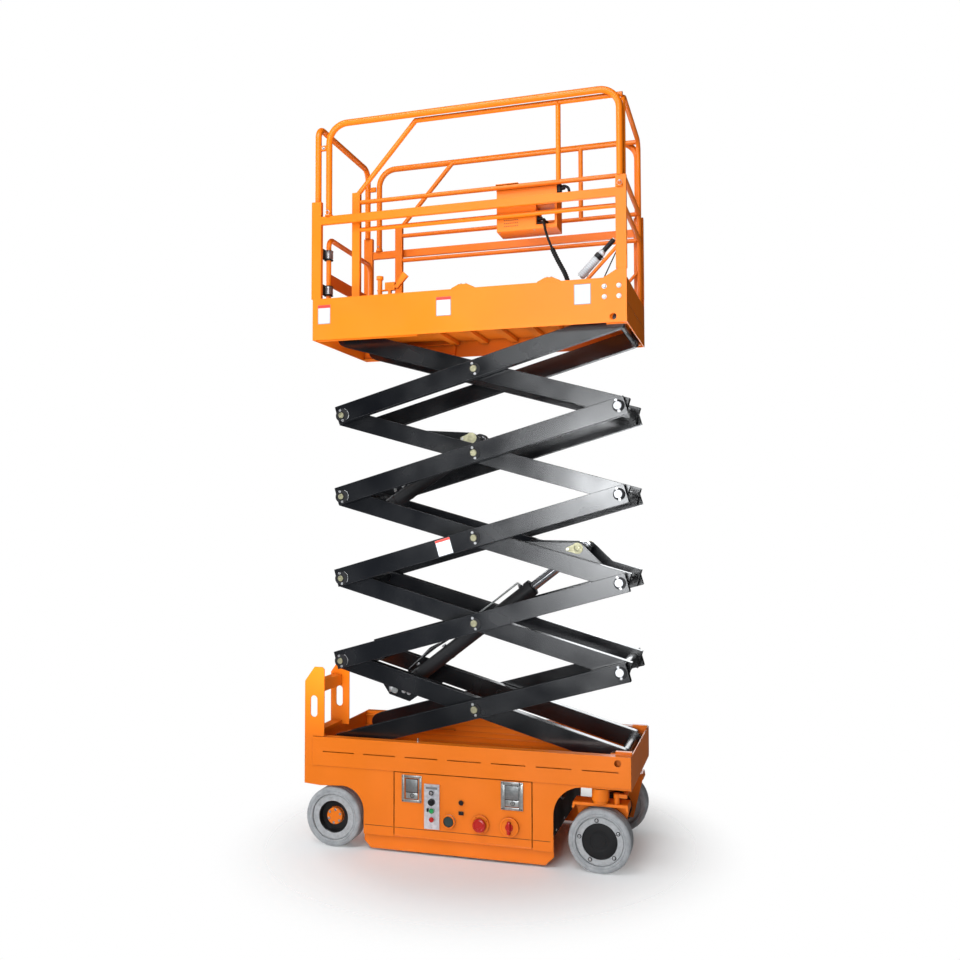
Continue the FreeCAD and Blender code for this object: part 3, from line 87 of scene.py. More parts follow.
def face_middle(node, sign):
    """The middle of a node's box, on its face towards one side."""
    low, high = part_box(node)
    middle = (low + high) / 2
    middle.y = high.y if sign > 0 else low.y
    return middle


# ---- camera and light
def add_camera():
    """The view from the controls side, a little towards the steered end, near the ground."""
    data = bpy.data.cameras.new("camera")
    data.sensor_width = 36.0
    data.lens = 35.55
    camera = bpy.data.objects.new("camera", data)
    bpy.context.scene.collection.objects.link(camera)
    camera.location = (1.487, -5.029, 1.718)
    turn = vec(-0.2832, 0.9581, 0.0428).to_track_quat("-Z", "Y").to_matrix()
    roll = Matrix.Rotation(math.radians(-0.135), 3, "Z")
    camera.rotation_euler = (turn @ roll).to_euler()
    bpy.context.scene.camera = camera


def add_panel(name, place, aim, width, height, power):
    """A soft rectangular light."""
    data = bpy.data.lights.new(name, "AREA")
    data.shape = "RECTANGLE"
    data.size = width
    data.size_y = height
    data.energy = power
    data.color = (0.95, 0.975, 1.0)
    light = bpy.data.objects.new(name, data)
    bpy.context.scene.collection.objects.link(light)
    light.location = place
    light.rotation_euler = (Vector(aim) - Vector(place)).to_track_quat("-Z", "Z").to_euler()
    return light


def add_stage():
    """A seamless pale floor, a pale room and soft panel lights."""
    scene = bpy.context.scene
    scene.view_settings.view_transform = "Standard"
    add_world(scene)
    # columns: name, place, aim, width, height, power
    lights = {row[0]: add_panel(*row) for row in (
        ("key", (0.25, -7.6, 2.1), (-0.2, 0, 2.1), 2.2, 1.8, 205),
        ("key_high", (-0.4, -7.6, 5.2), (0, 0, 2.9), 2.6, 1.6, 62),
        ("key_low", (0.1, -7.6, 0.6), (-0.2, 0, 0.7), 2.4, 0.9, 32),
        ("side", (-6.6, -3.6, 3.6), (0, 0, 2.4), 2.2, 3.0, 170),
        ("top", (-0.6, -3.2, 6.2), (0.1, 0, 2.9), 2.8, 1.6, 150),
        ("behind", (-5.5, 3.6, 4.2), (0, 0, 2.0), 3.0, 3.0, 115),
        ("under", (0.0, -1.3, 0.9), (0.0, -0.6, 2.8), 2.0, 0.7, 60),
        ("far_key", (0.2, 7.4, 2.4), (0.1, 0, 2.2), 2.4, 2.4, 65))}
    lights["under"].visible_glossy = False
    lights["far_key"].visible_camera = False
    mesh = bpy.data.meshes.new("floor")
    half = 60.0
    corners = [(-half, -half, 0), (half, -half, 0), (half, half, 0), (-half, half, 0)]
    mesh.from_pydata(corners, [], [(0, 1, 2, 3)])
    floor = bpy.data.objects.new("floor", mesh)
    scene.collection.objects.link(floor)
    mesh.materials.append(floor_material())


def add_world(scene):
    """White where the camera sees it, lit from below by a pale floor, and dark in reflections."""
    world = bpy.data.worlds.new("studio")
    scene.world = world
    world.use_nodes = True
    tree = world.node_tree
    tree.nodes.clear()
    path = add(tree, "LightPath")
    split = add(tree, "SeparateXYZ", {0: add(tree, "TexCoord").outputs["Generated"]})
    bounce = ramp(tree, split.outputs["Z"], -0.35, 0.1, 0.8, 0.05)
    mirrored = calc(tree, "MULTIPLY_ADD", path.outputs["Is Glossy Ray"], -0.9, 1.0)
    strength = calc(tree, "MULTIPLY", bounce, mirrored)
    lit = add(tree, "Background", {"Color": (0.95, 0.97, 1.0, 1), "Strength": strength})
    seen = add(tree, "Background", {"Color": (1, 1, 1, 1), "Strength": 1.0})
    camera_ray = path.outputs["Is Camera Ray"]
    mix = add(tree, "MixShader", {"Fac": camera_ray, 1: lit.outputs[0], 2: seen.outputs[0]})
    add(tree, "OutputWorld", {"Surface": mix.outputs[0]})


def floor_material():
    """Pale floor that thins out further off, and can be seen through from below."""
    mat, tree, shader = blank("studio_floor")
    speck = ramp(tree, noise(tree, 3.0, 4), 0.3, 0.7)
    tone = blend_colour(tree, speck, (0.93, 0.93, 0.93), (0.95, 0.95, 0.95))
    plug(tree, shader, {"Base Color": tone, "Roughness": 0.9, "Specular IOR Level": 0.1})
    away = add(tree, "VectorMath", {0: object_coords(tree)}, operation="LENGTH")
    fade = add(tree, "MapRange", {"From Min": 0.55, "From Max": 1.45, "Value": away.outputs["Value"]},
               interpolation_type="SMOOTHSTEP")
    thin = calc(tree, "MAXIMUM", fade.outputs["Result"], add(tree, "NewGeometry").outputs["Backfacing"])
    clear = add(tree, "BsdfTransparent")
    mixed = add(tree, "MixShader", {"Fac": thin, 1: shader.outputs[0], 2: clear.outputs[0]})
    plug(tree, tree.nodes["out"], {"Surface": mixed.outputs[0]})
    return mat


# ---- material makers
def plug(tree, node, sockets):
    """Sets a node's inputs, by name or number, each to a value or to an output."""
    for key, value in sockets.items():
        if isinstance(value, bpy.types.NodeSocket):
            tree.links.new(value, node.inputs[key])
        else:
            node.inputs[key].default_value = value


def add(tree, kind, sockets=None, **settings):
    """A new shader node with its settings and inputs."""
    node = tree.nodes.new("ShaderNode" + kind)
    for key, value in settings.items():
        setattr(node, key, value)
    plug(tree, node, sockets or {})
    return node


def calc(tree, operation, *values):
    """A Math node's result."""
    return add(tree, "Math", dict(enumerate(values)), operation=operation).outputs[0]


def blank(name):
    """A material with one Principled shader. Returns the material, its tree and the shader."""
    mat = bpy.data.materials.new(name)
    mat.use_nodes = True
    tree = mat.node_tree
    tree.nodes.clear()
    shader = add(tree, "BsdfPrincipled")
    add(tree, "OutputMaterial", {"Surface": shader.outputs[0]}, name="out")
    return mat, tree, shader


def object_coords(tree):
    """Object space, in metres."""
    return (tree.nodes.get("coords") or add(tree, "TexCoord", name="coords")).outputs["Object"]


def noise(tree, scale, detail=3.0, rough=0.5, stretch=None):
    """A noise texture's value in object space, in features per metre."""
    coords = object_coords(tree)
    if stretch:
        coords = add(tree, "Mapping", {"Scale": stretch, "Vector": coords}).outputs[0]
    inputs = {"Scale": scale, "Detail": detail, "Roughness": rough, "Vector": coords}
    return add(tree, "TexNoise", inputs).outputs["Fac"]


def ramp(tree, value, low, high, out_low=0.0, out_high=1.0):
    """A value's range mapped to another, clamped."""
    inputs = {"From Min": low, "From Max": high, "To Min": out_low, "To Max": out_high, "Value": value}
    return add(tree, "MapRange", inputs).outputs["Result"]


def blend_colour(tree, factor, first, second, mode="MIX"):
    """Two colours, or colour outputs, mixed by a value."""
    pair = [(*colour, 1) if isinstance(colour, tuple) else colour for colour in (first, second)]
    inputs = {"Factor": factor, 6: pair[0], 7: pair[1]}
    return add(tree, "Mix", inputs, data_type="RGBA", blend_type=mode).outputs[2]


def bump(tree, shader, height, distance, strength=1.0, rounded=0.0):
    """Relief from a height value, in metres, over edges that are rounded by a radius."""
    inputs = {"Distance": distance, "Strength": strength, "Height": height}
    if rounded:
        inputs["Normal"] = add(tree, "Bevel", {"Radius": rounded}, samples=3).outputs[0]
    plug(tree, shader, {"Normal": add(tree, "Bump", inputs).outputs[0]})


def shade(colour, factor):
    """A colour times a factor."""
    return tuple(min(1.0, c * factor) for c in colour)


def paint(name, colour, roughness=0.3, coat=0.1, cloud=0.0, edge=0.0025, dirt=0.12, level=0.4, dull=0.0):
    """Sprayed paint: uneven tone, orange peel, faint scuffs, and painted shade that darkens its corners.

    cloud is how far its gloss wanders in slow patches, from 0 to 1. dull adds
    roughness along the rounded edges, where the paint is thin.
    """
    mat, tree, shader = blank(name)
    tone = ramp(tree, noise(tree, 2.3, 5), 0.3, 0.7)
    body = blend_colour(tree, tone, shade(colour, 0.93), shade(colour, 1.04))
    scuff = ramp(tree, noise(tree, 30, 5, 0.7, (0.5, 1.0, 1.5)), 0.66, 0.8)
    body = blend_colour(tree, scuff, body, shade(colour, 1.0 - dirt))
    # painted shade: the colour darkens to 0.45 where ambient occlusion finds corners and creases
    corner = add(tree, "AmbientOcclusion", {"Distance": 0.03}, samples=3)
    painted_corner_shade = ramp(tree, corner.outputs["AO"], 0.2, 0.8, 1.0, 0.0)
    body = blend_colour(tree, painted_corner_shade, body, shade(colour, 0.45))
    patches = noise(tree, 4.5, 2, 0.5)
    gloss = ramp(tree, patches, 0.3, 0.7, roughness * (1 - cloud), roughness * (1 + cloud))
    if dull:
        round_edge = add(tree, "Bevel", {"Radius": edge}, samples=4)
        flat = add(tree, "NewGeometry")
        agree = add(tree, "VectorMath", {0: round_edge.outputs[0], 1: flat.outputs["True Normal"]},
                    operation="DOT_PRODUCT")
        gloss = calc(tree, "ADD", gloss, ramp(tree, agree.outputs["Value"], 0.93, 0.998, dull, 0.0))
    plug(tree, shader, {"Base Color": body, "Roughness": gloss, "Specular IOR Level": level,
                        "Coat Weight": coat, "Coat Roughness": roughness * 0.75})
    bump(tree, shader, noise(tree, 320, 2), 0.00004, 0.5, edge)
    return mat


def metal(name, colour, roughness=0.35, grain=(1, 1, 1), spangle=0.0, edge=0.0):
    """Bare or plated metal with a brushed or spangled surface."""
    mat, tree, shader = blank(name)
    streak = noise(tree, 240, 4, 0.6, grain)
    patch = ramp(tree, noise(tree, 55, 2), 0.35, 0.65)
    spread = 0.3 + spangle
    plug(tree, shader, {
        "Base Color": blend_colour(tree, patch, shade(colour, 0.86), shade(colour, 1.08)), "Metallic": 0.92,
        "Roughness": ramp(tree, streak, 0.3, 0.7, roughness * (1 - spread), roughness * (1 + spread))})
    bump(tree, shader, streak, 0.00008, 0.5, edge)
    return mat


def plastic(name, colour, roughness=0.45, grain=900.0, relief=0.00008, edge=0.001, level=0.5):
    """Moulded plastic or rubber with a fine grain and a little dust."""
    mat, tree, shader = blank(name)
    worn = ramp(tree, noise(tree, 34, 5, 0.65), 0.42, 0.72)
    dusty = tuple(c + (DUST - c) * 0.02 for c in colour)
    gloss = ramp(tree, noise(tree, 60, 3), 0.3, 0.7, roughness * 0.85, min(1.0, roughness * 1.15))
    plug(tree, shader, {"Base Color": blend_colour(tree, worn, colour, dusty), "Roughness": gloss,
                        "Specular IOR Level": level})
    bump(tree, shader, noise(tree, grain, 2), relief, 0.7, edge)
    return mat


def tyre_material():
    """Light grey non-marking rubber, marbled and scuffed."""
    mat, tree, shader = blank("grey_rubber")
    marble = ramp(tree, noise(tree, 30, 8, 0.62), 0.3, 0.72)
    body = blend_colour(tree, marble, (0.27, 0.28, 0.29), (0.43, 0.44, 0.45))
    mark = ramp(tree, noise(tree, 75, 6, 0.75), 0.62, 0.72)
    plug(tree, shader, {"Base Color": blend_colour(tree, mark, body, (0.17, 0.17, 0.17)), "Roughness": 0.62,
                        "Specular IOR Level": 0.35})
    bump(tree, shader, noise(tree, 260, 6, 0.7), 0.0006, 0.55)
    return mat


def rim_material(name, centre, bands):
    """Paint in rings about a wheel's axis. bands: outer radius and colour, from the axis out."""
    mat, tree, shader = blank(name)
    split = add(tree, "SeparateXYZ", {0: object_coords(tree)})
    squares = []
    for axis, middle in (("X", centre.x), ("Z", centre.z)):
        away = calc(tree, "ABSOLUTE", calc(tree, "SUBTRACT", split.outputs[axis], middle))
        squares.append(calc(tree, "POWER", away, 2.0))
    radius = calc(tree, "SQRT", calc(tree, "ADD", *squares))
    body = bands[0][1]
    for (limit, _), (_, colour) in zip(bands, bands[1:]):
        step = ramp(tree, radius, limit - 0.0003, limit + 0.0003)
        body = blend_colour(tree, step, body, colour)
    patch = ramp(tree, noise(tree, 48, 6, 0.65), 0.35, 0.75)
    shadow = blend_colour(tree, patch, (0.72, 0.72, 0.72), (1.0, 1.0, 1.0))
    plug(tree, shader, {"Base Color": blend_colour(tree, 1.0, body, shadow, "MULTIPLY"), "Roughness": 0.42,
                        "Coat Weight": 0.25})
    bump(tree, shader, noise(tree, 300, 3), 0.0002, 0.5, 0.0015)
    return mat


# ---- finishes
ORANGE = (0.9, 0.198, 0.006)
ARM_BLACK = (0.0035, 0.004, 0.0052)
DUST = 0.3
MATERIALS = {}


def make_materials():
    """The finishes by name."""
    m = MATERIALS
    m["orange"] = paint("orange_powder_coat", ORANGE, 0.36, 0.05, 0.15, level=0.35)
    m["arm"] = paint("arm_black_gloss", ARM_BLACK, 0.22, 0.0, 0.3, 0.004, 0.3, 1.0, 0.45)
    m["black"] = paint("satin_black", (0.008, 0.008, 0.009), 0.5, 0.0, 0.2, 0.0015, 0.2)
    m["casting"] = paint("black_casting", (0.01, 0.01, 0.011), 0.6, 0.0, 0.3, 0.002, 0.2, 0.3)
    m["white"] = paint("label_white", (0.56, 0.58, 0.61), 0.4, 0.0, 0.1, 0.0004, 0.06)
    m["header"] = paint("label_red", (0.6, 0.05, 0.04), 0.4, 0.0, 0.1, 0.0004, 0.06)
    m["grey_mark"] = paint("label_grey", (0.2, 0.21, 0.22), 0.4, 0.0, 0.1, 0.0004, 0.06)
    m["zinc"] = metal("galvanised_zinc", (0.5, 0.51, 0.5), 0.42, spangle=0.25, edge=0.0008)
    m["pin_face"] = paint("plated_pin_face", (0.56, 0.57, 0.59), 0.42, 0.0, 0.2, 0.0008, 0.3)
    m["tube"] = paint("pale_grey_tube", (0.47, 0.48, 0.49), 0.45, 0.0, 0.2, 0.001, 0.35)
    m["hose"] = plastic("glossy_hose", (0.005, 0.005, 0.006), 0.2, 400.0, 0.00002, 0.0005)
    m["brass"] = metal("yellow_passivated_zinc", (0.46, 0.44, 0.29), 0.48, spangle=0.2, edge=0.0008)
    m["bolt"] = metal("bright_bolt_zinc", (0.62, 0.62, 0.63), 0.38, spangle=0.1)
    m["chrome"] = metal("hard_chrome", (0.74, 0.75, 0.78), 0.1, (1, 1, 1))
    m["plate"] = metal("brushed_plate", (0.8, 0.8, 0.84), 0.5, (1, 1, 0.04))
    m["paddle"] = metal("paddle_grey", (0.3, 0.31, 0.31), 0.5, (0.05, 1, 1))
    m["plastic"] = plastic("black_plastic", (0.007, 0.007, 0.008), 0.4, level=0.35)
    m["bearing"] = plastic("bearing_plastic", (0.03, 0.03, 0.034), 0.5)
    m["rubber"] = plastic("black_rubber", (0.004, 0.004, 0.004), 0.55, 600.0, 0.0001, level=0.25)
    m["battery"] = plastic("battery_case", (0.03, 0.032, 0.036), 0.55, 300.0, 0.0002)
    m["red"] = plastic("red_plastic", (0.5, 0.012, 0.008), 0.25, 500.0, 0.00002)
    m["green"] = plastic("green_plastic", (0.02, 0.32, 0.09), 0.25, 500.0, 0.00002)
    m["glass"] = plastic("gauge_lens", (0.03, 0.05, 0.05), 0.08, 500.0, 0.00001)
    m["tyre"] = tyre_material()
    grey, black = (0.5, 0.51, 0.52), (0.008, 0.008, 0.009)
    hub = JOINT["rear_wheel_near_spin"]
    m["rear_rim"] = rim_material("rear_rim_rings", hub, [(0.0455, ORANGE), (0.0835, black), (1, grey)])
    hub = JOINT["front_wheel_near_spin"]
    m["front_rim"] = rim_material("front_rim_rings", hub, [(0.0878, (0.016, 0.0165, 0.018)), (1, grey)])


# finish: how the names of its nodes start; every other node is orange
FINISHES = {
    "arm": ("inner_arm", "outer_arm"),
    "black": ("lower_cylinder_barrel", "upper_cylinder_barrel", "power_unit"),
    "casting": ("drive_motor", "gate_hinges"),
    "chrome": ("lower_cylinder_rod", "upper_cylinder_rod"),
    "zinc": ("door_latches", "document_tube"),
    "plate": "ground_controls",
    "red": "power_switches",
    "bearing": ("lower_slide_pads", "upper_slide_pads"),
    "battery": "battery_pack",
    "rubber": "control_cable",
    "tyre": ("rear_tyre", "front_tyre"),
    "rear_rim": "rear_rim",
    "front_rim": "front_rim",
}


def finish_nodes():
    """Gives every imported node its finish."""
    for name, node in NODES.items():
        finish = next((key for key, starts in FINISHES.items() if name.startswith(starts)), "orange")
        for slot in node.material_slots:
            slot.material = MATERIALS[finish]


# ---- mesh makers
def basis(axis):
    """A matrix whose Z column is the axis."""
    w = Vector(axis).normalized()
    u = w.cross(Z if abs(w.z) < 0.9 else X).normalized()
    return Matrix((u, w.cross(u), w)).transposed()


def turned(bm, centre, axis, rows, segments=32, finish=0, phase=0.0):
    """A turned part. rows: radius, distance along the axis; a zero radius closes an end."""
    turn = basis(axis)
    rings = []
    for radius, along in rows:
        count = 1 if radius == 0 else segments
        ring = []
        for i in range(count):
            a = 2 * math.pi * i / segments + phase
            spot = vec(radius * math.cos(a), radius * math.sin(a), along)
            ring.append(bm.verts.new(Vector(centre) + turn @ spot))
        rings.append(ring)
    for one, two in zip(rings, rings[1:]):
        for i in range(segments):
            j = i + 1
            corners = (one[i % len(one)], one[j % len(one)], two[j % len(two)], two[i % len(two)])
            corners = list(dict.fromkeys(corners))
            if len(corners) > 2:
                bm.faces.new(corners).material_index = finish


def disc(bm, centre, axis, radius, height, edge=0.001, segments=32, finish=0):
    """A closed disc with a chamfered top, standing on a point."""
    rows = [(0, 0), (radius, 0), (radius, height - edge), (radius - edge, height), (0, height)]
    turned(bm, centre, axis, rows, segments, finish)


def ring_disc(bm, centre, axis, radius, bore, height, edge=0.001, segments=40, finish=0):
    """A closed flat ring."""
    rows = [(bore, 0), (radius, 0), (radius, height - edge), (radius - edge, height), (bore, height)]
    turned(bm, centre, axis, rows + rows[:1], segments, finish)


def arc(radius, start, end, steps, shift=0):
    """Points of an arc between two angles in degrees, moved along its first direction."""
    angles = [math.radians(start + (end - start) * i / steps) for i in range(steps + 1)]
    return [(shift + radius * math.cos(a), radius * math.sin(a)) for a in angles]


def around(degrees, radius):
    """A step out from a Y axis, at an angle from +X towards +Z."""
    a = math.radians(degrees)
    return vec(math.cos(a), 0, math.sin(a)) * radius


def rod(bm, foot, axis, radius, length, segments=16, finish=0):
    """A plain round bar."""
    turned(bm, foot, axis, [(0, 0), (radius, 0), (radius, length), (0, length)], segments, finish)


def hex_bolt(bm, centre, axis, size, finish=0):
    """A washer, a hexagon head with a chamfered crown and its shank end. size: across the corners."""
    centre, axis = Vector(centre), Vector(axis).normalized()
    disc(bm, centre, axis, size * 0.72, size * 0.1, size * 0.03, 24, finish)
    top = centre + axis * size * 0.1
    rows = [(0, 0), (size * 0.5, 0), (size * 0.5, size * 0.24), (size * 0.42, size * 0.32), (0, size * 0.32)]
    turned(bm, top, axis, rows, 6, finish)


def block(bm, one, other, edge=0.0, finish=0, at=(0, 0, 0), turn=None):
    """A box between two opposite corners, measured from a point, chamfered and turned about its centre."""
    low, high = Vector(map(min, one, other)), Vector(map(max, one, other))
    made = bmesh.ops.create_cube(bm, size=1.0)["verts"]
    middle, size = (low + high) / 2 + Vector(at), high - low
    for v in made:
        v.co = Vector(a * b for a, b in zip(v.co, size)) + middle
    faces = {f for v in made for f in v.link_faces}
    if edge:
        edges = list({e for f in faces for e in f.edges})
        cut = bmesh.ops.bevel(bm, geom=edges, offset=edge, segments=2, affect="EDGES", profile=0.5)
        made = list({v for f in cut["faces"] for v in f.verts} | {v for v in made if v.is_valid})
        faces = {f for v in made for f in v.link_faces}
    for f in faces:
        f.material_index = finish
    if turn is not None:
        for v in made:
            v.co = middle + turn @ (v.co - middle)


def band(bm, one, two, finish=0):
    """Faces between two closed rings of corners."""
    for corners in zip(one, one[1:] + one[:1], two[1:] + two[:1], two):
        bm.faces.new(corners).material_index = finish


def outline_plate(bm, origin, across, up, points, thickness, finish=0):
    """A flat plate from outline points (along across, along up), thick along their cross product."""
    across, up = Vector(across).normalized(), Vector(up).normalized()
    out = across.cross(up)
    back = [bm.verts.new(Vector(origin) + across * a + up * b) for a, b in points]
    front = [bm.verts.new(v.co + out * thickness) for v in back]
    band(bm, back, front, finish)
    for corners in (front, back[::-1]):
        bm.faces.new(corners).material_index = finish


def sweep(bm, path, radius, segments=16, finish=0, closed_ends=True):
    """A round tube along a list of points. radius: a number, or a function of the distance and the angle."""
    points = [Vector(p) for p in path]
    rings = []
    travelled = 0.0
    side = None
    for i, p in enumerate(points):
        before, after = points[max(i - 1, 0)], points[min(i + 1, len(points) - 1)]
        along = (after - before).normalized()
        travelled += (p - before).length if i else 0.0
        if side is None:
            side = along.cross(Z if abs(along.z) < 0.9 else X).normalized()
        side = (side - along * side.dot(along)).normalized()
        other = along.cross(side)
        ring = []
        for k in range(segments):
            a = 2 * math.pi * k / segments
            r = radius(travelled, a) if callable(radius) else radius
            ring.append(bm.verts.new(p + (side * math.cos(a) + other * math.sin(a)) * r))
        rings.append(ring)
    for one, two in zip(rings, rings[1:]):
        band(bm, one, two, finish)
    for end in (rings[0][::-1], rings[-1]) if closed_ends else ():
        bm.faces.new(end).material_index = finish


def smooth_path(corners, bend, steps=6):
    """Points along straight runs joined by arcs of one radius."""
    corners = [Vector(c) for c in corners]
    path = [corners[0]]
    for before, corner, after in zip(corners, corners[1:], corners[2:]):
        into, out = (corner - before).normalized(), (after - corner).normalized()
        half = into.angle(out) / 2
        tangent = min(bend * math.tan(half), (corner - before).length * 0.49, (after - corner).length * 0.49)
        start, end = corner - into * tangent, corner + out * tangent
        for i in range(steps + 1):
            t = i / steps
            path.append(start.lerp(corner, t).lerp(corner.lerp(end, t), t))
    path.append(corners[-1])
    return path


@contextmanager
def piece(name, body, finishes, slot=None, replaced=None):
    """One mesh object riding on a body. Its with block gets the bmesh to fill."""
    bm = bmesh.new()
    yield bm
    bmesh.ops.remove_doubles(bm, verts=bm.verts, dist=1e-6)
    bmesh.ops.recalc_face_normals(bm, faces=bm.faces)
    for f in bm.faces:
        f.smooth = True
    for e in bm.edges:
        e.smooth = len(e.link_faces) == 2 and e.calc_face_angle(0) < math.radians(32)
    mesh = bpy.data.meshes.new(name)
    bm.to_mesh(mesh)
    bm.free()
    for finish in finishes:
        mesh.materials.append(MATERIALS[finish])
    obj = bpy.data.objects.new(name, mesh)
    bpy.context.scene.collection.objects.link(obj)
    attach(obj, body)
    if replaced:
        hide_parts(replaced)


# ---- control cable
CABLE_POINTS = [
    (0.427, -0.19, 3.284), (0.427, -0.226, 3.284), (0.43, -0.262, 3.284),
    (0.433, -0.291, 3.276), (0.438, -0.312, 3.256), (0.444, -0.321, 3.229),
    (0.452, -0.323, 3.196), (0.466, -0.322, 3.152), (0.486, -0.321, 3.104),
    (0.508, -0.321, 3.055), (0.533, -0.323, 3.008), (0.556, -0.327, 2.963),
    (0.57, -0.332, 2.915), (0.575, -0.3365, 2.862), (0.575, -0.3365, 2.80838),
]
CABLE_R = 0.0065
WRAP_LOW, WRAP_HIGH = 2.86, 3.115
WRAP_THICK, WRAP_RIPPLE, WRAP_TWIST = 0.0052, 0.001, 520


def add_cable():
    """The control cable with its gland, its wrapped stretch and its floor clamp."""
    data = bpy.data.curves.new("control_lead", "CURVE")
    data.dimensions = "3D"
    spline = data.splines.new("NURBS")
    spline.points.add(len(CABLE_POINTS) - 1)
    for point, place in zip(spline.points, CABLE_POINTS):
        point.co = (*place, 1)
    spline.order_u = 3
    spline.use_endpoint_u = True
    spline.resolution_u = 8
    cable = bpy.data.objects.new("control_lead", data)
    bpy.context.scene.collection.objects.link(cable)
    route = [v.co.copy() for v in bpy.data.meshes.new_from_object(cable).vertices]
    data.bevel_depth = CABLE_R
    data.bevel_resolution = 5
    data.use_fill_caps = True
    data.materials.append(MATERIALS["rubber"])
    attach(cable, "extension")
    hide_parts("control_cable")
    wrapped = [p for p in route if WRAP_LOW < p.z < WRAP_HIGH]

    def radius(travelled, angle):
        return CABLE_R + WRAP_THICK + WRAP_RIPPLE * math.sin(angle - travelled * WRAP_TWIST)

    with piece("cable_wrap", "extension", ["rubber"], "cable_rubber") as bm:
        fine = [a.lerp(b, i / 6) for a, b in zip(wrapped, wrapped[1:]) for i in range(6)]
        sweep(bm, fine, radius, 14)

    with piece("cable_gland", "extension", ["plastic"], "black_plastic") as bm:
        inside = CABLE_R - 0.0005
        rows = [(inside, 0), (0.0125, 0), (0.0125, 0.006), (0.0105, 0.007), (0.0105, 0.016),
                (0.0095, 0.018), (0.0076, 0.04), (0.0068, 0.042), (inside, 0.042)]
        turned(bm, CABLE_POINTS[0], -Y, rows, 24)

    with piece("cable_clamp", "extension", ["orange", "bolt"], "orange_paint") as bm:
        foot = Vector(CABLE_POINTS[-1])
        block(bm, (-0.026, -0.0085, 0), (-0.0075, 0.02, 0.06), 0.0015, at=foot)
        ring_disc(bm, foot, Z, 0.0125, CABLE_R, 0.012, 0.002, 24)
        hex_bolt(bm, foot + vec(-0.017, 0.006, 0.06), Z, 0.01, 1)


# ---- wheels
def add_tyres():
    """Solid tyres with a beaded sidewall. Each replaces its plain packed ring."""
    # radius and share of the half width, from the bead to the tread's groove
    half_profile = (
        (0.119, 0.94), (0.1215, 0.985), (0.1275, 1), (0.13, 0.965), (0.1325, 0.965), (0.135, 0.995),
        (0.143, 0.985), (0.149, 0.94), (0.153, 0.86), (0.1548, 0.76),
        (0.155, 0.6), (0.155, 0.34), (0.1538, 0.325), (0.1538, 0.295), (0.155, 0.28))
    for end in ("rear", "front"):
        for side, _, _ in SIDES:
            node = "%s_tyre_%s" % (end, side)
            low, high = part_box(node)
            half = (high.y - low.y) / 2
            rows = [(r, share * half) for r, share in half_profile]
            rows += [(r, -along) for r, along in reversed(rows)] + rows[:1]
            with piece(node + "_rubber", node.replace("tyre", "wheel"), ["tyre"], "tyre_rubber", node) as bm:
                turned(bm, (low + high) / 2, Y, rows, 112)


# how far the rear hub cap and the front cover plate lie inside the rims' faces
CAP_DEPTH, PLATE_DEPTH = 0.0158, 0.004


def add_wheel_bolts():
    """Hub cap screws at the rear, rim bolts at the front, both sides."""
    for side, sign, out in SIDES:
        hub = face_middle("rear_rim_" + side, sign)
        with piece("hub_cap_" + side, "rear_wheel_" + side, ["orange", "bolt", "zinc"], "orange_paint") as bm:
            cap = hub - out * CAP_DEPTH
            rows = [(0.0432, -0.0006), (0.0432, 0.0016), (0.041, 0.0034), (0.03, 0.0042), (0.0285, 0.003),
                    (0, 0.0034)]
            turned(bm, cap, out, rows, 48)
            for k in range(6):
                hex_bolt(bm, cap + around(60 * k + 22, 0.0345) + out * 0.0036, out, 0.0095, 1)
            for k in range(8):
                disc(bm, hub + around(45 * k + 10, 0.099) - out * 0.0003, out, 0.0042, 0.0014, 0.0006, 12, 2)
        base = face_middle("front_rim_" + side, sign)
        with piece("rim_bolts_" + side, "front_wheel_" + side, ["bolt", "plastic", "casting"],
                   "zinc_steel") as bm:
            for k in range(5):
                spot = base + around(72 * k + 98, 0.101)
                ring_disc(bm, spot, out, 0.0105, 0.0068, 0.0012, 0.0004, 24, 1)
                disc(bm, spot, out, 0.0066, 0.0052, 0.0016, 20, 0)
            rows = [(0.086, 0), (0.086, 0.0012), (0.083, 0.0024), (0.048, 0.0024), (0.046, 0.001),
                    (0.032, 0.001), (0.03, 0.0024), (0, 0.0028)]
            turned(bm, base - out * PLATE_DEPTH, out, rows, 64, 2)


# ---- scissor pins
def pin_keeper(bm, spot, out, along, radius, cap):
    """A matt black keeper round a pin, the pin's dished face and two small bolts. The keeper sits off-centre,
    so its dark ring is wider on one side: partly a real plate, partly painted shadow of the pin's face.

    finishes: 0 black, 2 bolts. along points up the arm; cap is the face's finish.
    """
    across = vec(-along.z, 0, along.x)
    # partly painted shadow: the black keeper is set off-centre so its dark ring shows wider on one side of
    # the pin's face
    plate = spot + along * 0.004 - across * 0.003
    turned(bm, plate, out, [(0, 0), (0.031, 0), (0.031, 0.002), (0.0298, 0.003), (0, 0.003)], 44)
    rows = [(radius + 0.0014, 0.0028), (radius + 0.0014, 0.005), (radius, 0.005), (radius, 0.0068),
            (radius - 0.0014, 0.008), (radius * 0.64, 0.008), (radius * 0.6, 0.007), (radius * 0.34, 0.007),
            (radius * 0.28, 0.006), (0, 0.0056)]
    turned(bm, spot, out, rows, 40, cap)
    for reach in (0.0285, -0.0285):
        hex_bolt(bm, spot + across * reach + out * 0.0026, out, 0.01, 2)


def end_plate(bm, spot, out, along):
    """The rounded wear plate over an arm's left end, with a bright arc along one side of its edge: a painted
    highlight where the edge catches the light.
    """
    across = vec(-along.z, 0, along.x)
    middle = spot + along * 0.007
    disc(bm, middle, out, 0.035, 0.0026, 0.001, 48)
    # painted highlight: a thin bright arc only on the side of the edge that catches the light
    rim = [middle + out * 0.001 + along * a + across * b for a, b in arc(0.0358, -52, 52, 13)]
    sweep(bm, rim, 0.0011, 8, 2)


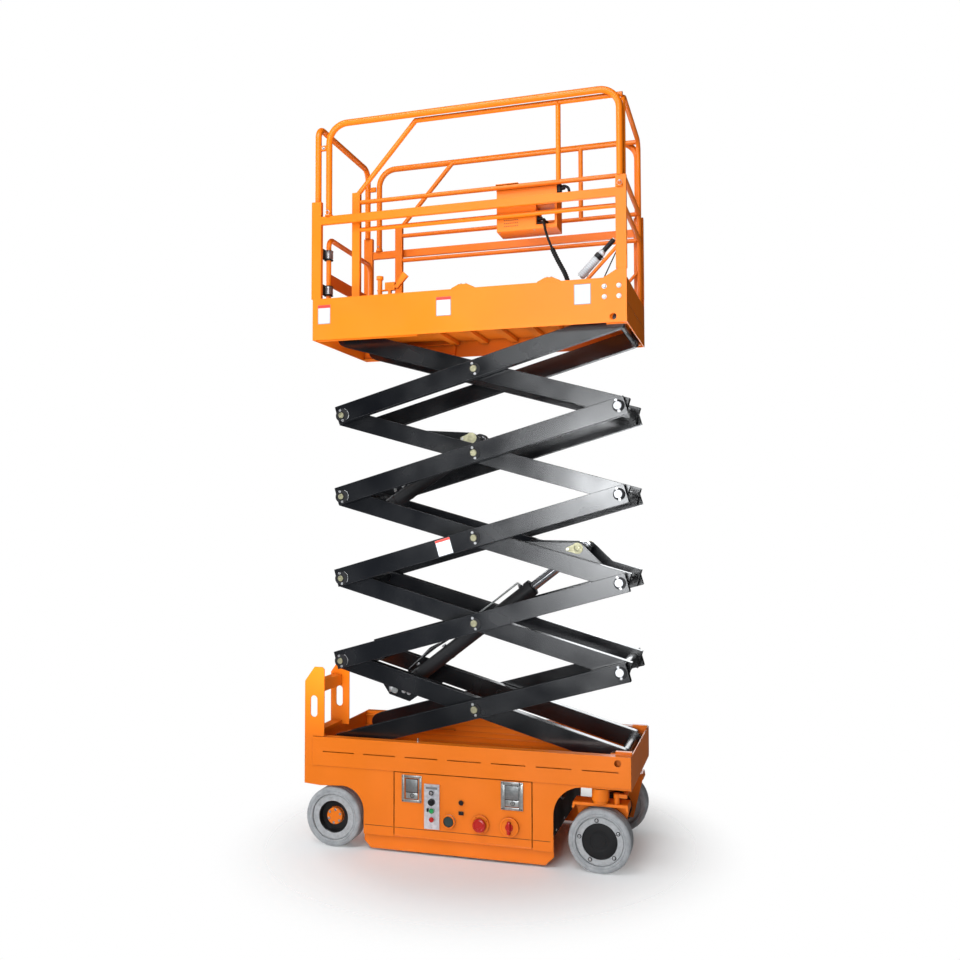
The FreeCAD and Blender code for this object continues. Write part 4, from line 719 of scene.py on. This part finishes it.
def add_pins():
    """Pin keepers on the outer arms, both sides."""
    for stage in range(1, STAGES + 1):
        for side, sign, out in SIDES:
            face = sign * OUTER_FACE
            with piece("pin_keepers_%d_%s" % (stage, side), "outer_%d" % stage,
                       ["casting", "brass", "bolt", "pin_face"], "zinc_steel") as bm:
                pin_keeper(bm, vec(CENTRE_X, face, JOINT["centre_pin_%d" % stage].z), out, ARM_UP, 0.017, 1)
                if stage > 1:
                    spot = vec(SLIDE_X, face, LEVELS[stage - 1])
                    end_plate(bm, spot, out, ARM_UP)
                    pin_keeper(bm, spot, out, ARM_UP, 0.0155, 1)
                if stage < STAGES:
                    pin_keeper(bm, vec(PIVOT_X, face, LEVELS[stage]), out, ARM_UP, 0.0195, 3)


# ---- cylinders
# pins of the two lift cylinders: distances along and across an inner arm
LOWER_BASE, LOWER_EYE = (1.258, -0.071), (0.267, 0.096)
UPPER_BASE, UPPER_EYE = (1.42, -0.025), (0.855, 0.072)


def along_inner(stage, along, across):
    """A point on an inner arm, from its distances along and across, in metres."""
    start = vec(PIVOT_X, 0, LEVELS[stage - 1])
    return start + vec(-ARM_UP.x, 0, ARM_UP.z) * along + vec(ARM_UP.z, 0, ARM_UP.x) * across


def add_cylinder_trim():
    """Gland rings, ports, straps and steel pipes of the two lift cylinders, and the lower one's hoses."""
    # columns: name, base pin, rod pin, barrel length
    rams = (("lower", along_inner(1, *LOWER_BASE), along_inner(3, *LOWER_EYE), 0.905),
            ("upper", along_inner(3, *UPPER_BASE), along_inner(4, *UPPER_EYE), 0.5))
    for name, base, eye, length in rams:
        lean = (eye - base).normalized()
        above = vec(-lean.z, 0, lean.x)
        with piece(name + "_ram_trim", name + "_barrel", ["black", "bolt", "zinc", "hose"],
                   "cylinder_paint") as bm:
            end = base + lean * length
            rows = [(0.0262, 0), (0.0262, 0.004), (0.034, 0.005), (0.034, 0.001), (0.0455, -0.001),
                    (0.0455, -0.03), (0.0405, -0.032)]
            turned(bm, end, lean, rows, 40)
            rows = [(0.0402, 0), (0.043, 0.002), (0.043, 0.014), (0.0402, 0.016)]
            turned(bm, base + lean * 0.075, lean, rows, 40)
            port = base + lean * (length - 0.055) + above * 0.038
            foot = base + lean * 0.11 + above * 0.038
            for spot in (port, foot):
                rod(bm, spot, above, 0.012, 0.01, 20)
                rod(bm, spot + above * 0.01, above, 0.0095, 0.009, 6, 1)
            corners = [port + above * 0.016, port + above * 0.03, port + above * 0.03 - lean * 0.035,
                       foot + above * 0.028 + lean * 0.03, foot + above * 0.028, foot + above * 0.016]
            sweep(bm, smooth_path(corners, 0.016), 0.0055, 14, 2)
            for shift, bow in ((0.018, 0.034), (-0.018, 0.022)) if name == "lower" else ():
                rear = base + lean * 0.05 + above * 0.046 + Y * shift
                front = base + lean * (length * 0.42) + above * 0.05 + Y * shift
                bulge = (rear + front) / 2 + above * bow
                corners = [rear - above * 0.01, rear + above * 0.012, bulge, front + above * 0.004,
                           front - above * 0.01]
                sweep(bm, smooth_path(corners, 0.06, 10), 0.0062, 14, 3)
            for share in (0.33, 0.66):
                strap = base + lean * (length * share)
                turned(bm, strap, lean, [(0.0403, 0), (0.0416, 0), (0.0416, 0.014), (0.0403, 0.014)], 40)
                block(bm, (-0.01, -0.01, -0.004), (0.01, 0.01, 0.004), 0.001, 1, strap + above * 0.046,
                      Matrix.Rotation(-math.atan2(lean.z, lean.x), 3, "Y"))


def ear_keeper(bm, spot, out, lean):
    """A teardrop keeper plate over the end of a rod pin. finishes: 0 plate, 1 bolts."""
    points = arc(0.0295, -135, 135, 18) + arc(0.011, 120, 240, 6, -0.05)
    outline_plate(bm, spot, lean, out.cross(lean), points, 0.0026, 0)
    rows = [(0.0175, 0.0026), (0.0175, 0.0038), (0.0165, 0.0043), (0.006, 0.0043), (0.005, 0.0034),
            (0, 0.0034)]
    turned(bm, spot, out, rows, 36, 0)
    disc(bm, spot - lean * 0.05 + out * 0.0026, out, 0.007, 0.0015, 0.0004, 20, 1)


def add_ear_keepers():
    """Keepers where the rods are pinned to the third and fourth inner arms, and at the lowest base pin."""
    ear_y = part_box("inner_arm_2")[1].y - ARM_WIDTH - EAR_INSET + 0.003
    # columns: stage, along, across, direction of the keeper's tail
    for stage, along, across, lean in ((3, *LOWER_EYE, vec(1, 0, 0.1)), (4, *UPPER_EYE, vec(1, 0, 0.05))):
        pin = along_inner(stage, along, across)
        with piece("ear_keepers_%d" % stage, "inner_%d" % stage, ["brass", "bolt"], "zinc_steel") as bm:
            for _, sign, out in SIDES:
                ear_keeper(bm, vec(pin.x, sign * ear_y, pin.z), out, lean.normalized())
    base = along_inner(1, *LOWER_BASE)
    base_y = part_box("inner_arm_1")[1].y - ARM_WIDTH + EAR_PLATE

    with piece("base_pin_keepers", "inner_1", ["zinc", "bolt"], "zinc_steel") as bm:
        for _, sign, out in SIDES:
            spot = vec(base.x, sign * (base_y + 0.008), base.z)
            disc(bm, spot, out, 0.0185, 0.004, 0.0012, 32, 0)
            gusset = vec(base.x, sign * base_y, base.z)
            for back in (0.052, 0.082):
                hex_bolt(bm, gusset + vec(ARM_UP.x, 0, -ARM_UP.z) * back + Z * 0.012, out, 0.019, 1)
            block(bm, (-0.034, 0, -0.012), (-0.016, sign * 0.006, 0.016), 0.001, 1, gusset)


# ---- labels
LABEL = ["white", "header", "grey_mark"]
BAND_FROM = 0.84


def label(bm, corner, across, up, width, height, header=True):
    """A blank plate on a flat face: grey rim, white ground and a red band at its head.

    finishes: 0 white, 1 red, 2 grey. corner: its lower left.
    """
    rim, hair = 0.003, 0.001
    # columns: left, right, foot, head, thickness, finish
    patches = [(0, width, 0, height, 0.0005, 2), (rim, width - rim, rim, height - rim, 0.0008, 0)]
    if header:
        patches.append((hair, width - hair, height * BAND_FROM, height - hair, 0.0011, 1))
    for x0, x1, z0, z1, lift, finish in patches:
        points = [(x0, z0), (x1, z0), (x1, z1), (x0, z1)]
        outline_plate(bm, corner, across, up, points, lift, finish)


def add_labels():
    """Blank plates on the deck's side and end, and on the third outer arm."""
    with piece("deck_labels", "platform", LABEL) as bm:
        # columns: left x, bottom above the pins' level, width, height, red band
        for x, z, width, height, header in (
                (-0.808, 0.05, 0.074, 0.104, True), (-0.128, 0.052, 0.082, 0.1, True),
                (0.604, 0.062, 0.086, 0.104, False)):
            label(bm, (x, -DECK_FACE, TOP_Z + z), X, Z, width, height, header)

    with piece("arm_label", "outer_3", LABEL) as bm:
        across = vec(-ARM_UP.z, 0, ARM_UP.x)
        spot = vec(CENTRE_X, -OUTER_FACE, JOINT["centre_pin_3"].z) - ARM_UP * 0.212 - across * 0.043
        label(bm, spot, ARM_UP, across, 0.084, 0.086)

    with piece("rear_label", "platform", LABEL) as bm:
        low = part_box("platform_frame")[0]
        label(bm, (low.x, 0.06, TOP_Z - 0.02), -Y, Z, 0.11, 0.07)


# ---- doors and controls
# how far a trim's back lies inside the face that carries it, and how far the switch strip stands out
SUNK, STRIP_PROUD = 0.0005, 0.006


def add_latches():
    """Paddle latches, both doors: dished frame, paddle and key barrel. Each pair replaces the plain ones."""
    # columns: rear x, front x, bottom z, top z
    rows = ((-0.313, -0.205, 0.268, 0.405), (0.218, 0.332, 0.271, 0.411))
    for side, sign, out in SIDES:
        y0 = sign * (DOOR_Y - SUNK)
        with piece("latch_faces_" + side, "door_" + side, ["zinc", "paddle", "plastic"], "zinc_steel",
                   "door_latches_" + side) as bm:
            for x0, x1, z0, z1 in rows:
                wide, tall = x1 - x0, z1 - z0
                # columns: inset left, right, bottom, top, back, front, chamfer, finish
                for left, right, bottom, top, back, front, edge, finish in (
                        (0, 0.094, 0, 0, 0, 0.003, 0.0012, 0), (0.094, 0, 0, 0, 0, 0.003, 0.0012, 0),
                        (0.012, 0.012, 0, tall - 0.014, 0, 0.003, 0.001, 0),
                        (0.012, 0.012, 0.123, 0, 0, 0.003, 0.001, 0),
                        (0.0195, 0.0195, 0.0495, 0.0175, 0, 0.0012, 0.0004, 2),
                        (0.0205, 0.0205, 0.0165, tall - 0.049, 0, 0.0008, 0.0003, 2),
                        (0.022, 0.022, 0.052, 0.02, -0.002, 0.0025, 0.0012, 1),
                        (0.022, 0.022, 0.018, tall - 0.048, -0.002, 0.0015, 0.001, 0)):
                    block(bm, (x0 + left, sign * back, z0 + bottom), (x1 - right, sign * front, z1 - top),
                          edge, finish, (0, y0, 0))
                spot = vec(x0 + wide / 2 + 0.004, y0 + sign * 0.0015, z0 + 0.034)
                ring_disc(bm, spot, out, 0.0115, 0.0085, 0.0022, 0.0006, 28, 2)
                disc(bm, spot, out, 0.0085, 0.0014, 0.0004, 24, 0)
                block(bm, (-0.0009, 0, -0.005), (0.0009, sign * 0.0018, 0.005), 0, 2, spot)
                for dx in (0.006, wide - 0.006):
                    for dz in (0.006, tall - 0.006):
                        disc(bm, (x0 + dx, y0 + sign * 0.0028, z0 + dz), out, 0.0032, 0.0012, 0.0005, 14, 2)


def add_ground_controls():
    """Switches, buttons, gauge and sockets on the controls-side door, and the faces of its big switches."""
    y = -DOOR_Y
    out = -Y
    with piece("ground_switches", "door_near",
               ["plastic", "bolt", "green", "red", "grey_mark", "orange", "glass"], "black_plastic") as bm:
        face = y - STRIP_PROUD
        # the strip's two screws
        for z in (0.15, 0.359):
            disc(bm, (-0.149, face, z), out, 0.0034, 0.0014, 0.0005, 14, 1)
        # key switch
        spot = vec(-0.148, face - 0.008, 0.327)
        ring_disc(bm, spot, out, 0.0125, 0.008, 0.003, 0.0008, 28, 0)
        block(bm, (-0.0016, -0.0154, -0.009), (0.0016, 0, 0.009), 0.0006, 1, spot)
        # raise and lower knob
        spot = vec(-0.146, face - 0.016, 0.281)
        turned(bm, spot, out, [(0.0175, -0.014), (0.0175, 0), (0.016, 0.0018), (0, 0.0018)], 28, 0, 0.1)
        block(bm, (-0.005, -0.0074, -0.0155), (0.005, -0.0016, 0.0155), 0.0018, at=spot)
        # green and red buttons
        for z, finish in ((0.236, 2), (0.192, 3)):
            spot = vec(-0.147, face, z)
            ring_disc(bm, spot, out, 0.0155, 0.0122, 0.0046, 0.001, 30, 1)
            rows = [(0.0124, 0), (0.0124, 0.0104), (0.0116, 0.0118), (0.006, 0.0122), (0, 0.0124)]
            turned(bm, spot, out, rows, 30, finish)
        block(bm, (-0.174, face - 0.006, 0.229), (-0.164, face, 0.247), 0.001)
        # legend strip, left plain
        block(bm, (-0.18, face - 0.0008, 0.344), (-0.118, face, 0.354), finish=4)
        # gauge
        spot = vec(-0.057, y - 0.006, 0.188)
        ring_disc(bm, spot, out, 0.0345, 0.0275, 0.005, 0.0018, 48, 5)
        disc(bm, spot, out, 0.0277, 0.0022, 0.0004, 40, 0)
        disc(bm, spot + out * 0.0022, out, 0.0235, 0.0012, 0.0008, 40, 6)
        # two sockets
        spot = vec(0.009, y - 0.004, 0.287)
        ring_disc(bm, spot, out, 0.0128, 0.008, 0.0022, 0.0006, 30, 0)
        disc(bm, spot, out, 0.0082, 0.001, 0.0003, 24, 0)
        block(bm, (-0.004, y - 0.0062, 0.226), (0.022, y - 0.004, 0.244), 0.001)

    with piece("power_switch_faces", "door_near", ["orange", "red"], "switch_mix") as bm:
        spot = vec(0.11, y - 0.005, 0.188)
        rows = [(0.047, 0), (0.047, 0.0012), (0.0455, 0.0028), (0.036, 0.0034), (0.0345, 0.0022),
                (0.0215, 0.0022), (0.0215, 0)]
        turned(bm, spot, out, rows, 56)
        for k in range(4):
            disc(bm, spot + around(90 * k + 30, 0.041) + out * 0.003, out, 0.0026, 0.0012, 0.0005, 12, 1)
        rows = [(0.0215, 0), (0.0335, 0.001), (0.034, 0.006), (0.032, 0.0098), (0.0235, 0.0118),
                (0.0215, 0.0104), (0, 0.01)]
        turned(bm, spot + out * 0.0155, out, rows, 56, 1)
        spot = vec(0.262, y - 0.006, 0.187)
        rows = [(0.049, 0), (0.049, 0.0012), (0.047, 0.003), (0.04, 0.0034), (0.0385, 0.002), (0, 0.002)]
        turned(bm, spot, out, rows, 56)
        block(bm, (-0.0085, -0.0215, -0.0315), (0.0085, -0.0018, 0.0315), 0.003, 1, spot)
        disc(bm, spot + out * 0.002, out, 0.02, 0.004, 0.0012, 36, 1)


def add_chassis_trim():
    """Track lips, a thin black strip that paints the shade along the panels' fold, a grease fitting, and the
    black baffle that paints the shade in the front arches, with its hoses.
    """
    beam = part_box("chassis_frame")[1].y
    inner = beam - 0.0495
    with piece("track_lips", "chassis", ["orange"], "orange_paint") as bm:
        for _, sign, _ in SIDES:
            for x0, x1, z in ((-0.8, 0.34, 0.448), (-0.8, 0.42, 0.478), (-0.56, 0.56, 0.512)):
                block(bm, (x0, sign * inner, z), (x1, sign * (inner - 0.004), z + 0.006), edge=0.0012)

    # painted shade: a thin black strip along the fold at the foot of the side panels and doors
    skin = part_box("side_panels")[1].y
    fold_z = 0.1323
    panels, door = ((-0.522, -0.362), (0.382, 0.47)), ((-0.353, 0.373),)
    # columns: body, signs of its sides, spans along X
    for body, signs, spans in (
            ("chassis", (-1, 1), panels), ("door_near", (-1,), door), ("door_far", (1,), door)):
        with piece("skirt_fold_shade_" + body, body, ["casting"], "black_plastic") as bm:
            for sign in signs:
                for x0, x1 in spans:
                    block(bm, (x0, sign * (skin - SUNK), fold_z),
                          (x1, sign * (skin + 0.0004), fold_z + 0.0016))

    with piece("grease_fitting", "chassis", ["bolt"], "zinc_steel") as bm:
        spot = vec(-0.235, 0.03 - beam, LEVELS[0] + 0.05)
        rows = [(0.006, -0.002), (0.006, 0.005), (0.0035, 0.007), (0.0035, 0.013), (0.0046, 0.015),
                (0.003, 0.019), (0, 0.019)]
        turned(bm, spot, Z, rows, 16)

    back, _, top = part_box("equipment_trays")[1]
    front = back + 0.005
    # painted shade: a black plate across the front of the trays stands for the dark hollow of the front
    # arches; the hoses in front of it are real
    with piece("front_shade_baffle", "chassis", ["casting", "bolt", "zinc", "hose"], "black_plastic") as bm:
        block(bm, (back, -0.349, 0.152), (front, 0.349, top - 0.002), edge=0.001)
        for y in (-0.3, -0.1, 0.1, 0.3):
            for z in (0.17, top - 0.018):
                hex_bolt(bm, (front, y, z), X, 0.01, 1)
        # hoses; columns: from y, to y, sag, radius, finish
        for y0, y1, sag, radius, finish in (
                (-0.325, -0.15, 0.085, 0.0075, 3), (-0.29, -0.06, 0.11, 0.0075, 3),
                (-0.255, 0.04, 0.07, 0.006, 3), (-0.315, -0.2, 0.05, 0.0028, 2),
                (0.325, 0.15, 0.085, 0.0075, 3), (0.28, 0.07, 0.06, 0.006, 3)):
            path = [(front + radius, y0 + (y1 - y0) * share, top - 0.004 - sag * fall)
                    for share, fall in ((0, 0), (0.075, 0.6), (0.5, 1), (0.925, 0.6), (1, 0))]
            sweep(bm, smooth_path(path, 0.05, 8), radius, 12, finish)


def add_motor_covers():
    """End covers and screws of the drive motors."""
    for side, sign, out in SIDES:
        end = JOINT["front_wheel_%s_spin" % side].copy()
        end.y = face_middle("drive_motor_" + side, -sign).y
        with piece("motor_cover_" + side, "knuckle_" + side, ["casting", "bolt"], "motor_paint") as bm:
            disc(bm, end + out * 0.0004, -out, 0.052, 0.002, 0.0008, 48)
            for k in range(6):
                hex_bolt(bm, end + around(60 * k + 15, 0.042) - out * 0.0016, -out, 0.01, 1)


def spring_coil(bm, centre, radius, wire, length, turns):
    """A coil spring standing on Z about a centre."""
    steps = turns * 20
    path = [centre + vec(a, b, length * (i / steps - 0.5))
            for i, (a, b) in enumerate(arc(radius, 0, 360 * turns, steps))]
    sweep(bm, path, wire, 8)


def add_platform_trim():
    """Gusset and guide bolts, gate springs, and the hoops' lock pins with their lanyard rings."""
    with piece("deck_bolts", "platform", ["bolt"], "zinc_steel") as bm:
        guide_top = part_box("slide_guides")[1].z
        for _, sign, out in SIDES:
            for x in (0.757, 0.83):
                for z in (0.094, 0.146):
                    hex_bolt(bm, (x, sign * DECK_FACE, TOP_Z + z), out, 0.0175)
            for x in (0.005, 0.03, 0.463, 0.486):
                hex_bolt(bm, (x, sign * (DECK_FACE - 0.013), guide_top), Z, 0.012)

    with piece("gate_springs", "platform", ["bolt", "black"], "zinc_steel") as bm:
        for z in (0.25, 0.448):
            centre = vec(*JOINT["gate_swing"].xy, TOP_Z + z)
            spring_coil(bm, centre, 0.0225, 0.0022, 0.044, 8)
            for end in (-0.0265, 0.0225):
                ring_disc(bm, centre + Z * end, Z, 0.025, 0.0205, 0.004, 0.001, 32, 1)

    with piece("hoop_locks", "platform", ["orange", "bolt"], "zinc_steel") as bm:
        hoop_y, entry_y = 0.357, 0.349
        for _, sign, out in SIDES:
            for x in (-0.751, 0.838):
                foot = vec(x, sign * hoop_y, TOP_Z + 0.642)
                ring_disc(bm, foot, Z, 0.0215, 0.0172, 0.012, 0.002, 32)
                pin = foot + Z * 0.03
                rod(bm, pin - out * 0.024, out, 0.0042, 0.046, 16, 1)
                ring = [pin + out * 0.0222 + vec(b, 0, a) for a, b in arc(0.012, 0, 360, 24, -0.012)]
                sweep(bm, ring, 0.0011, 8, 1, False)
            # clamp bolts where the entry hoop meets the side hoop
            hex_bolt(bm, (-0.79, sign * entry_y, TOP_Z + 1.031), out, 0.014, 1)


def add_deck_tread():
    """Raised chequer lugs on the extension's floor."""
    low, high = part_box("extension_deck")
    pitch = 0.036
    half_length, half_width, height = 0.0125, 0.0034, 0.0016

    def lug(bm, centre, along):
        side = vec(-along.y, along.x, 0)
        rings = []
        # columns: height, then shares of the half length (tips, shoulders) and of the half width
        for up, tip, shoulder, wide in ((0, 1, 0.5, 0.85), (height, 0.72, 0.4, 0.45)):
            outline = [(tip, 0), (shoulder, wide), (-shoulder, wide)]
            outline += [(-a, -b) for a, b in outline]
            rings.append([bm.verts.new(centre + Z * up + along * half_length * a + side * half_width * b)
                          for a, b in outline])
        foot, crown = rings
        band(bm, foot, crown)
        bm.faces.new(crown)
        bm.faces.new(foot[::-1])

    with piece("deck_chequer", "extension", ["orange"], "floor_paint") as bm:
        for column in range(int((high.x - low.x - 0.056) / pitch) + 1):
            for row in range(int((high.y - low.y - 0.056) / pitch) + 1):
                lean = math.radians(45 if (row + column) % 2 else -45)
                centre = vec(low.x + 0.03 + column * pitch, low.y + 0.028 + row * pitch, EXT_FLOOR)
                lug(bm, centre, vec(math.cos(lean), math.sin(lean), 0))


def add_box_trim():
    """The control box's vents, drawn as black discs whose dark is painted shade inside the holes, and its
    rivets, window frame, switch panel and joystick.
    """
    x0, x1, y0, y1 = 0.184, 0.505, -0.3, -0.17
    z0, z1 = (corner.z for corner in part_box("control_box"))
    with piece("control_box_trim", "extension", ["orange", "plastic", "bolt", "red", "white", "green"],
               "orange_paint") as bm:
        # vents: small black discs for the holes; their dark is painted shade inside the holes
        for row in range(3):
            for column in range(7):
                spot = (x0 + 0.043 + column * 0.0113, y0, z0 + 0.026 + row * 0.0155)
                disc(bm, spot, -Y, 0.003, 0.0005, 0.0003, 12, 1)
        for x in (x0 + 0.014, x0 + 0.2):
            for y in (y0 + 0.012, y1 - 0.012):
                disc(bm, (x, y, z0), -Z, 0.0045, 0.0035, 0.0012, 16, 2)
        block(bm, (x0 - 0.002, y0 - 0.002, z1 - 0.028), (x1 + 0.002, y1 + 0.002, z1 - 0.025), edge=0.0008)
        for x in (x0 + 0.014, x1 - 0.014):
            for z in (z0 + 0.14, z1 - 0.045):
                disc(bm, (x, y1, z), Y, 0.0045, 0.002, 0.0008, 16, 2)
        # the switch panel faces into the platform: stop button, keys and lamps
        stop = vec(x0 + 0.06, y1, z0 + 0.155)
        disc(bm, stop, Y, 0.03, 0.003, 0.001, 40, 4)
        rows = [(0.012, 0), (0.012, 0.012), (0.02, 0.013), (0.021, 0.02), (0.018, 0.024), (0, 0.025)]
        turned(bm, stop + Y * 0.003, Y, rows, 40, 3)
        for k in range(3):
            key = vec(x0 + 0.12 + 0.034 * k, y1, z0 + 0.175)
            block(bm, (-0.011, 0, -0.011), (0.011, 0.007, 0.011), 0.0016, 1, key)
            disc(bm, key - Z * 0.034, Y, 0.0055, 0.004, 0.0018, 20, (5, 3, 2)[k])
        # folded lip round the open window
        wx0, wx1, wz0, wz1 = 0.396, 0.493, z0 + 0.022, z0 + 0.122
        lip = 0.003
        for a, b, c, d in ((wx0 - lip, wx1 + lip, wz1, wz1 + lip), (wx0 - lip, wx1 + lip, wz0 - lip, wz0),
                           (wx0 - lip, wx0, wz0, wz1), (wx1, wx1 + lip, wz0, wz1)):
            block(bm, (a, y0 - 0.0018, c), (b, y0 + 0.001, d), edge=0.0005)
        # plug sockets on the window's rear wall
        for z, size in ((wz0 + 0.016, 0.011), (wz0 + 0.038, 0.013)):
            neck = size * 0.75
            rows = [(0, -0.001), (size, -0.001), (size, 0.01), (neck, 0.012), (neck, 0.026), (0, 0.027)]
            turned(bm, (wx0, y0 + 0.03, z), X, rows, 24, 1)
        # joystick on the front face, under its curved guard
        stick = vec(x1, y0 + 0.024, z1 - 0.036)
        block(bm, (-0.001, -0.02, -0.024), (0.02, 0.02, 0.024), 0.003, 1, stick)
        corners = (0.016, 0, 0.006), (0.034, 0, 0.012), (0.056, 0, 0), (0.064, 0, -0.036)
        sweep(bm, smooth_path([stick + Vector(c) for c in corners], 0.02), 0.007, 16, 1)
        rows = [(0, 0), (0.01, 0), (0.01, 0.012), (0.007, 0.02), (0, 0.021)]
        turned(bm, stick + X * 0.02, X, rows, 24, 1)


def add_document_tube_trim():
    """Ribs, a black band and a grip on the document tube, and the thin strut beside the brace."""
    foot = vec(0.541, -0.318, EXT_FLOOR)
    head = vec(0.85, -0.318, TOP_Z + 0.394)
    lean = (head - foot).normalized()
    across = vec(-lean.z, 0, lean.x)
    start = foot + lean * 0.163 + across * 0.036
    with piece("document_tube_trim", "extension", ["tube", "plastic", "pin_face"], "zinc_steel") as bm:
        # collars; columns: place along the tube, foot radius, radius, chamfer, rim, height, finish
        for place, foot_r, r, chamfer, rim, height, finish in (
                (0.004, 0.015, 0.02, 0.0012, 0.118, 0.1195, 0),
                *((0.01 + 0.011 * k, 0.0199, 0.021, 0.001, 0.0036, 0.0046, 2) for k in range(10)),
                (0.124, 0.015, 0.0215, 0.0008, 0.024, 0.0248, 1),
                (0.15, 0.015, 0.0178, 0.0006, 0.014, 0.0146, 2)):
            rows = [(foot_r, 0), (r, chamfer), (r, rim), (foot_r, height)]
            turned(bm, start + lean * place, lean, rows, 36, finish)
        rows = [(0.0098, 0), (0.0125, 0.002)]
        for k in range(6):
            rows += [(0.0125, 0.006 + 0.011 * k), (0.0114, 0.008 + 0.011 * k), (0.0125, 0.01 + 0.011 * k)]
        rows += [(0.0125, 0.074), (0.009, 0.0795), (0, 0.0795)]
        turned(bm, start + lean * 0.17, lean, rows, 28, 1)
        low = vec(0.749, -0.331, TOP_Z + 0.196)
        high = vec(0.812, -0.331, TOP_Z + 0.326)
        rod(bm, low, high - low, 0.0032, (high - low).length, 12, 1)


# ---- the scene
make_materials()
add_camera()
add_cable()
add_stage()
finish_nodes()
add_tyres()
add_wheel_bolts()
add_pins()
add_cylinder_trim()
add_ear_keepers()
add_labels()
add_latches()
add_ground_controls()
add_chassis_trim()
add_motor_covers()
add_platform_trim()
add_deck_tread()
add_box_trim()
add_document_tube_trim()
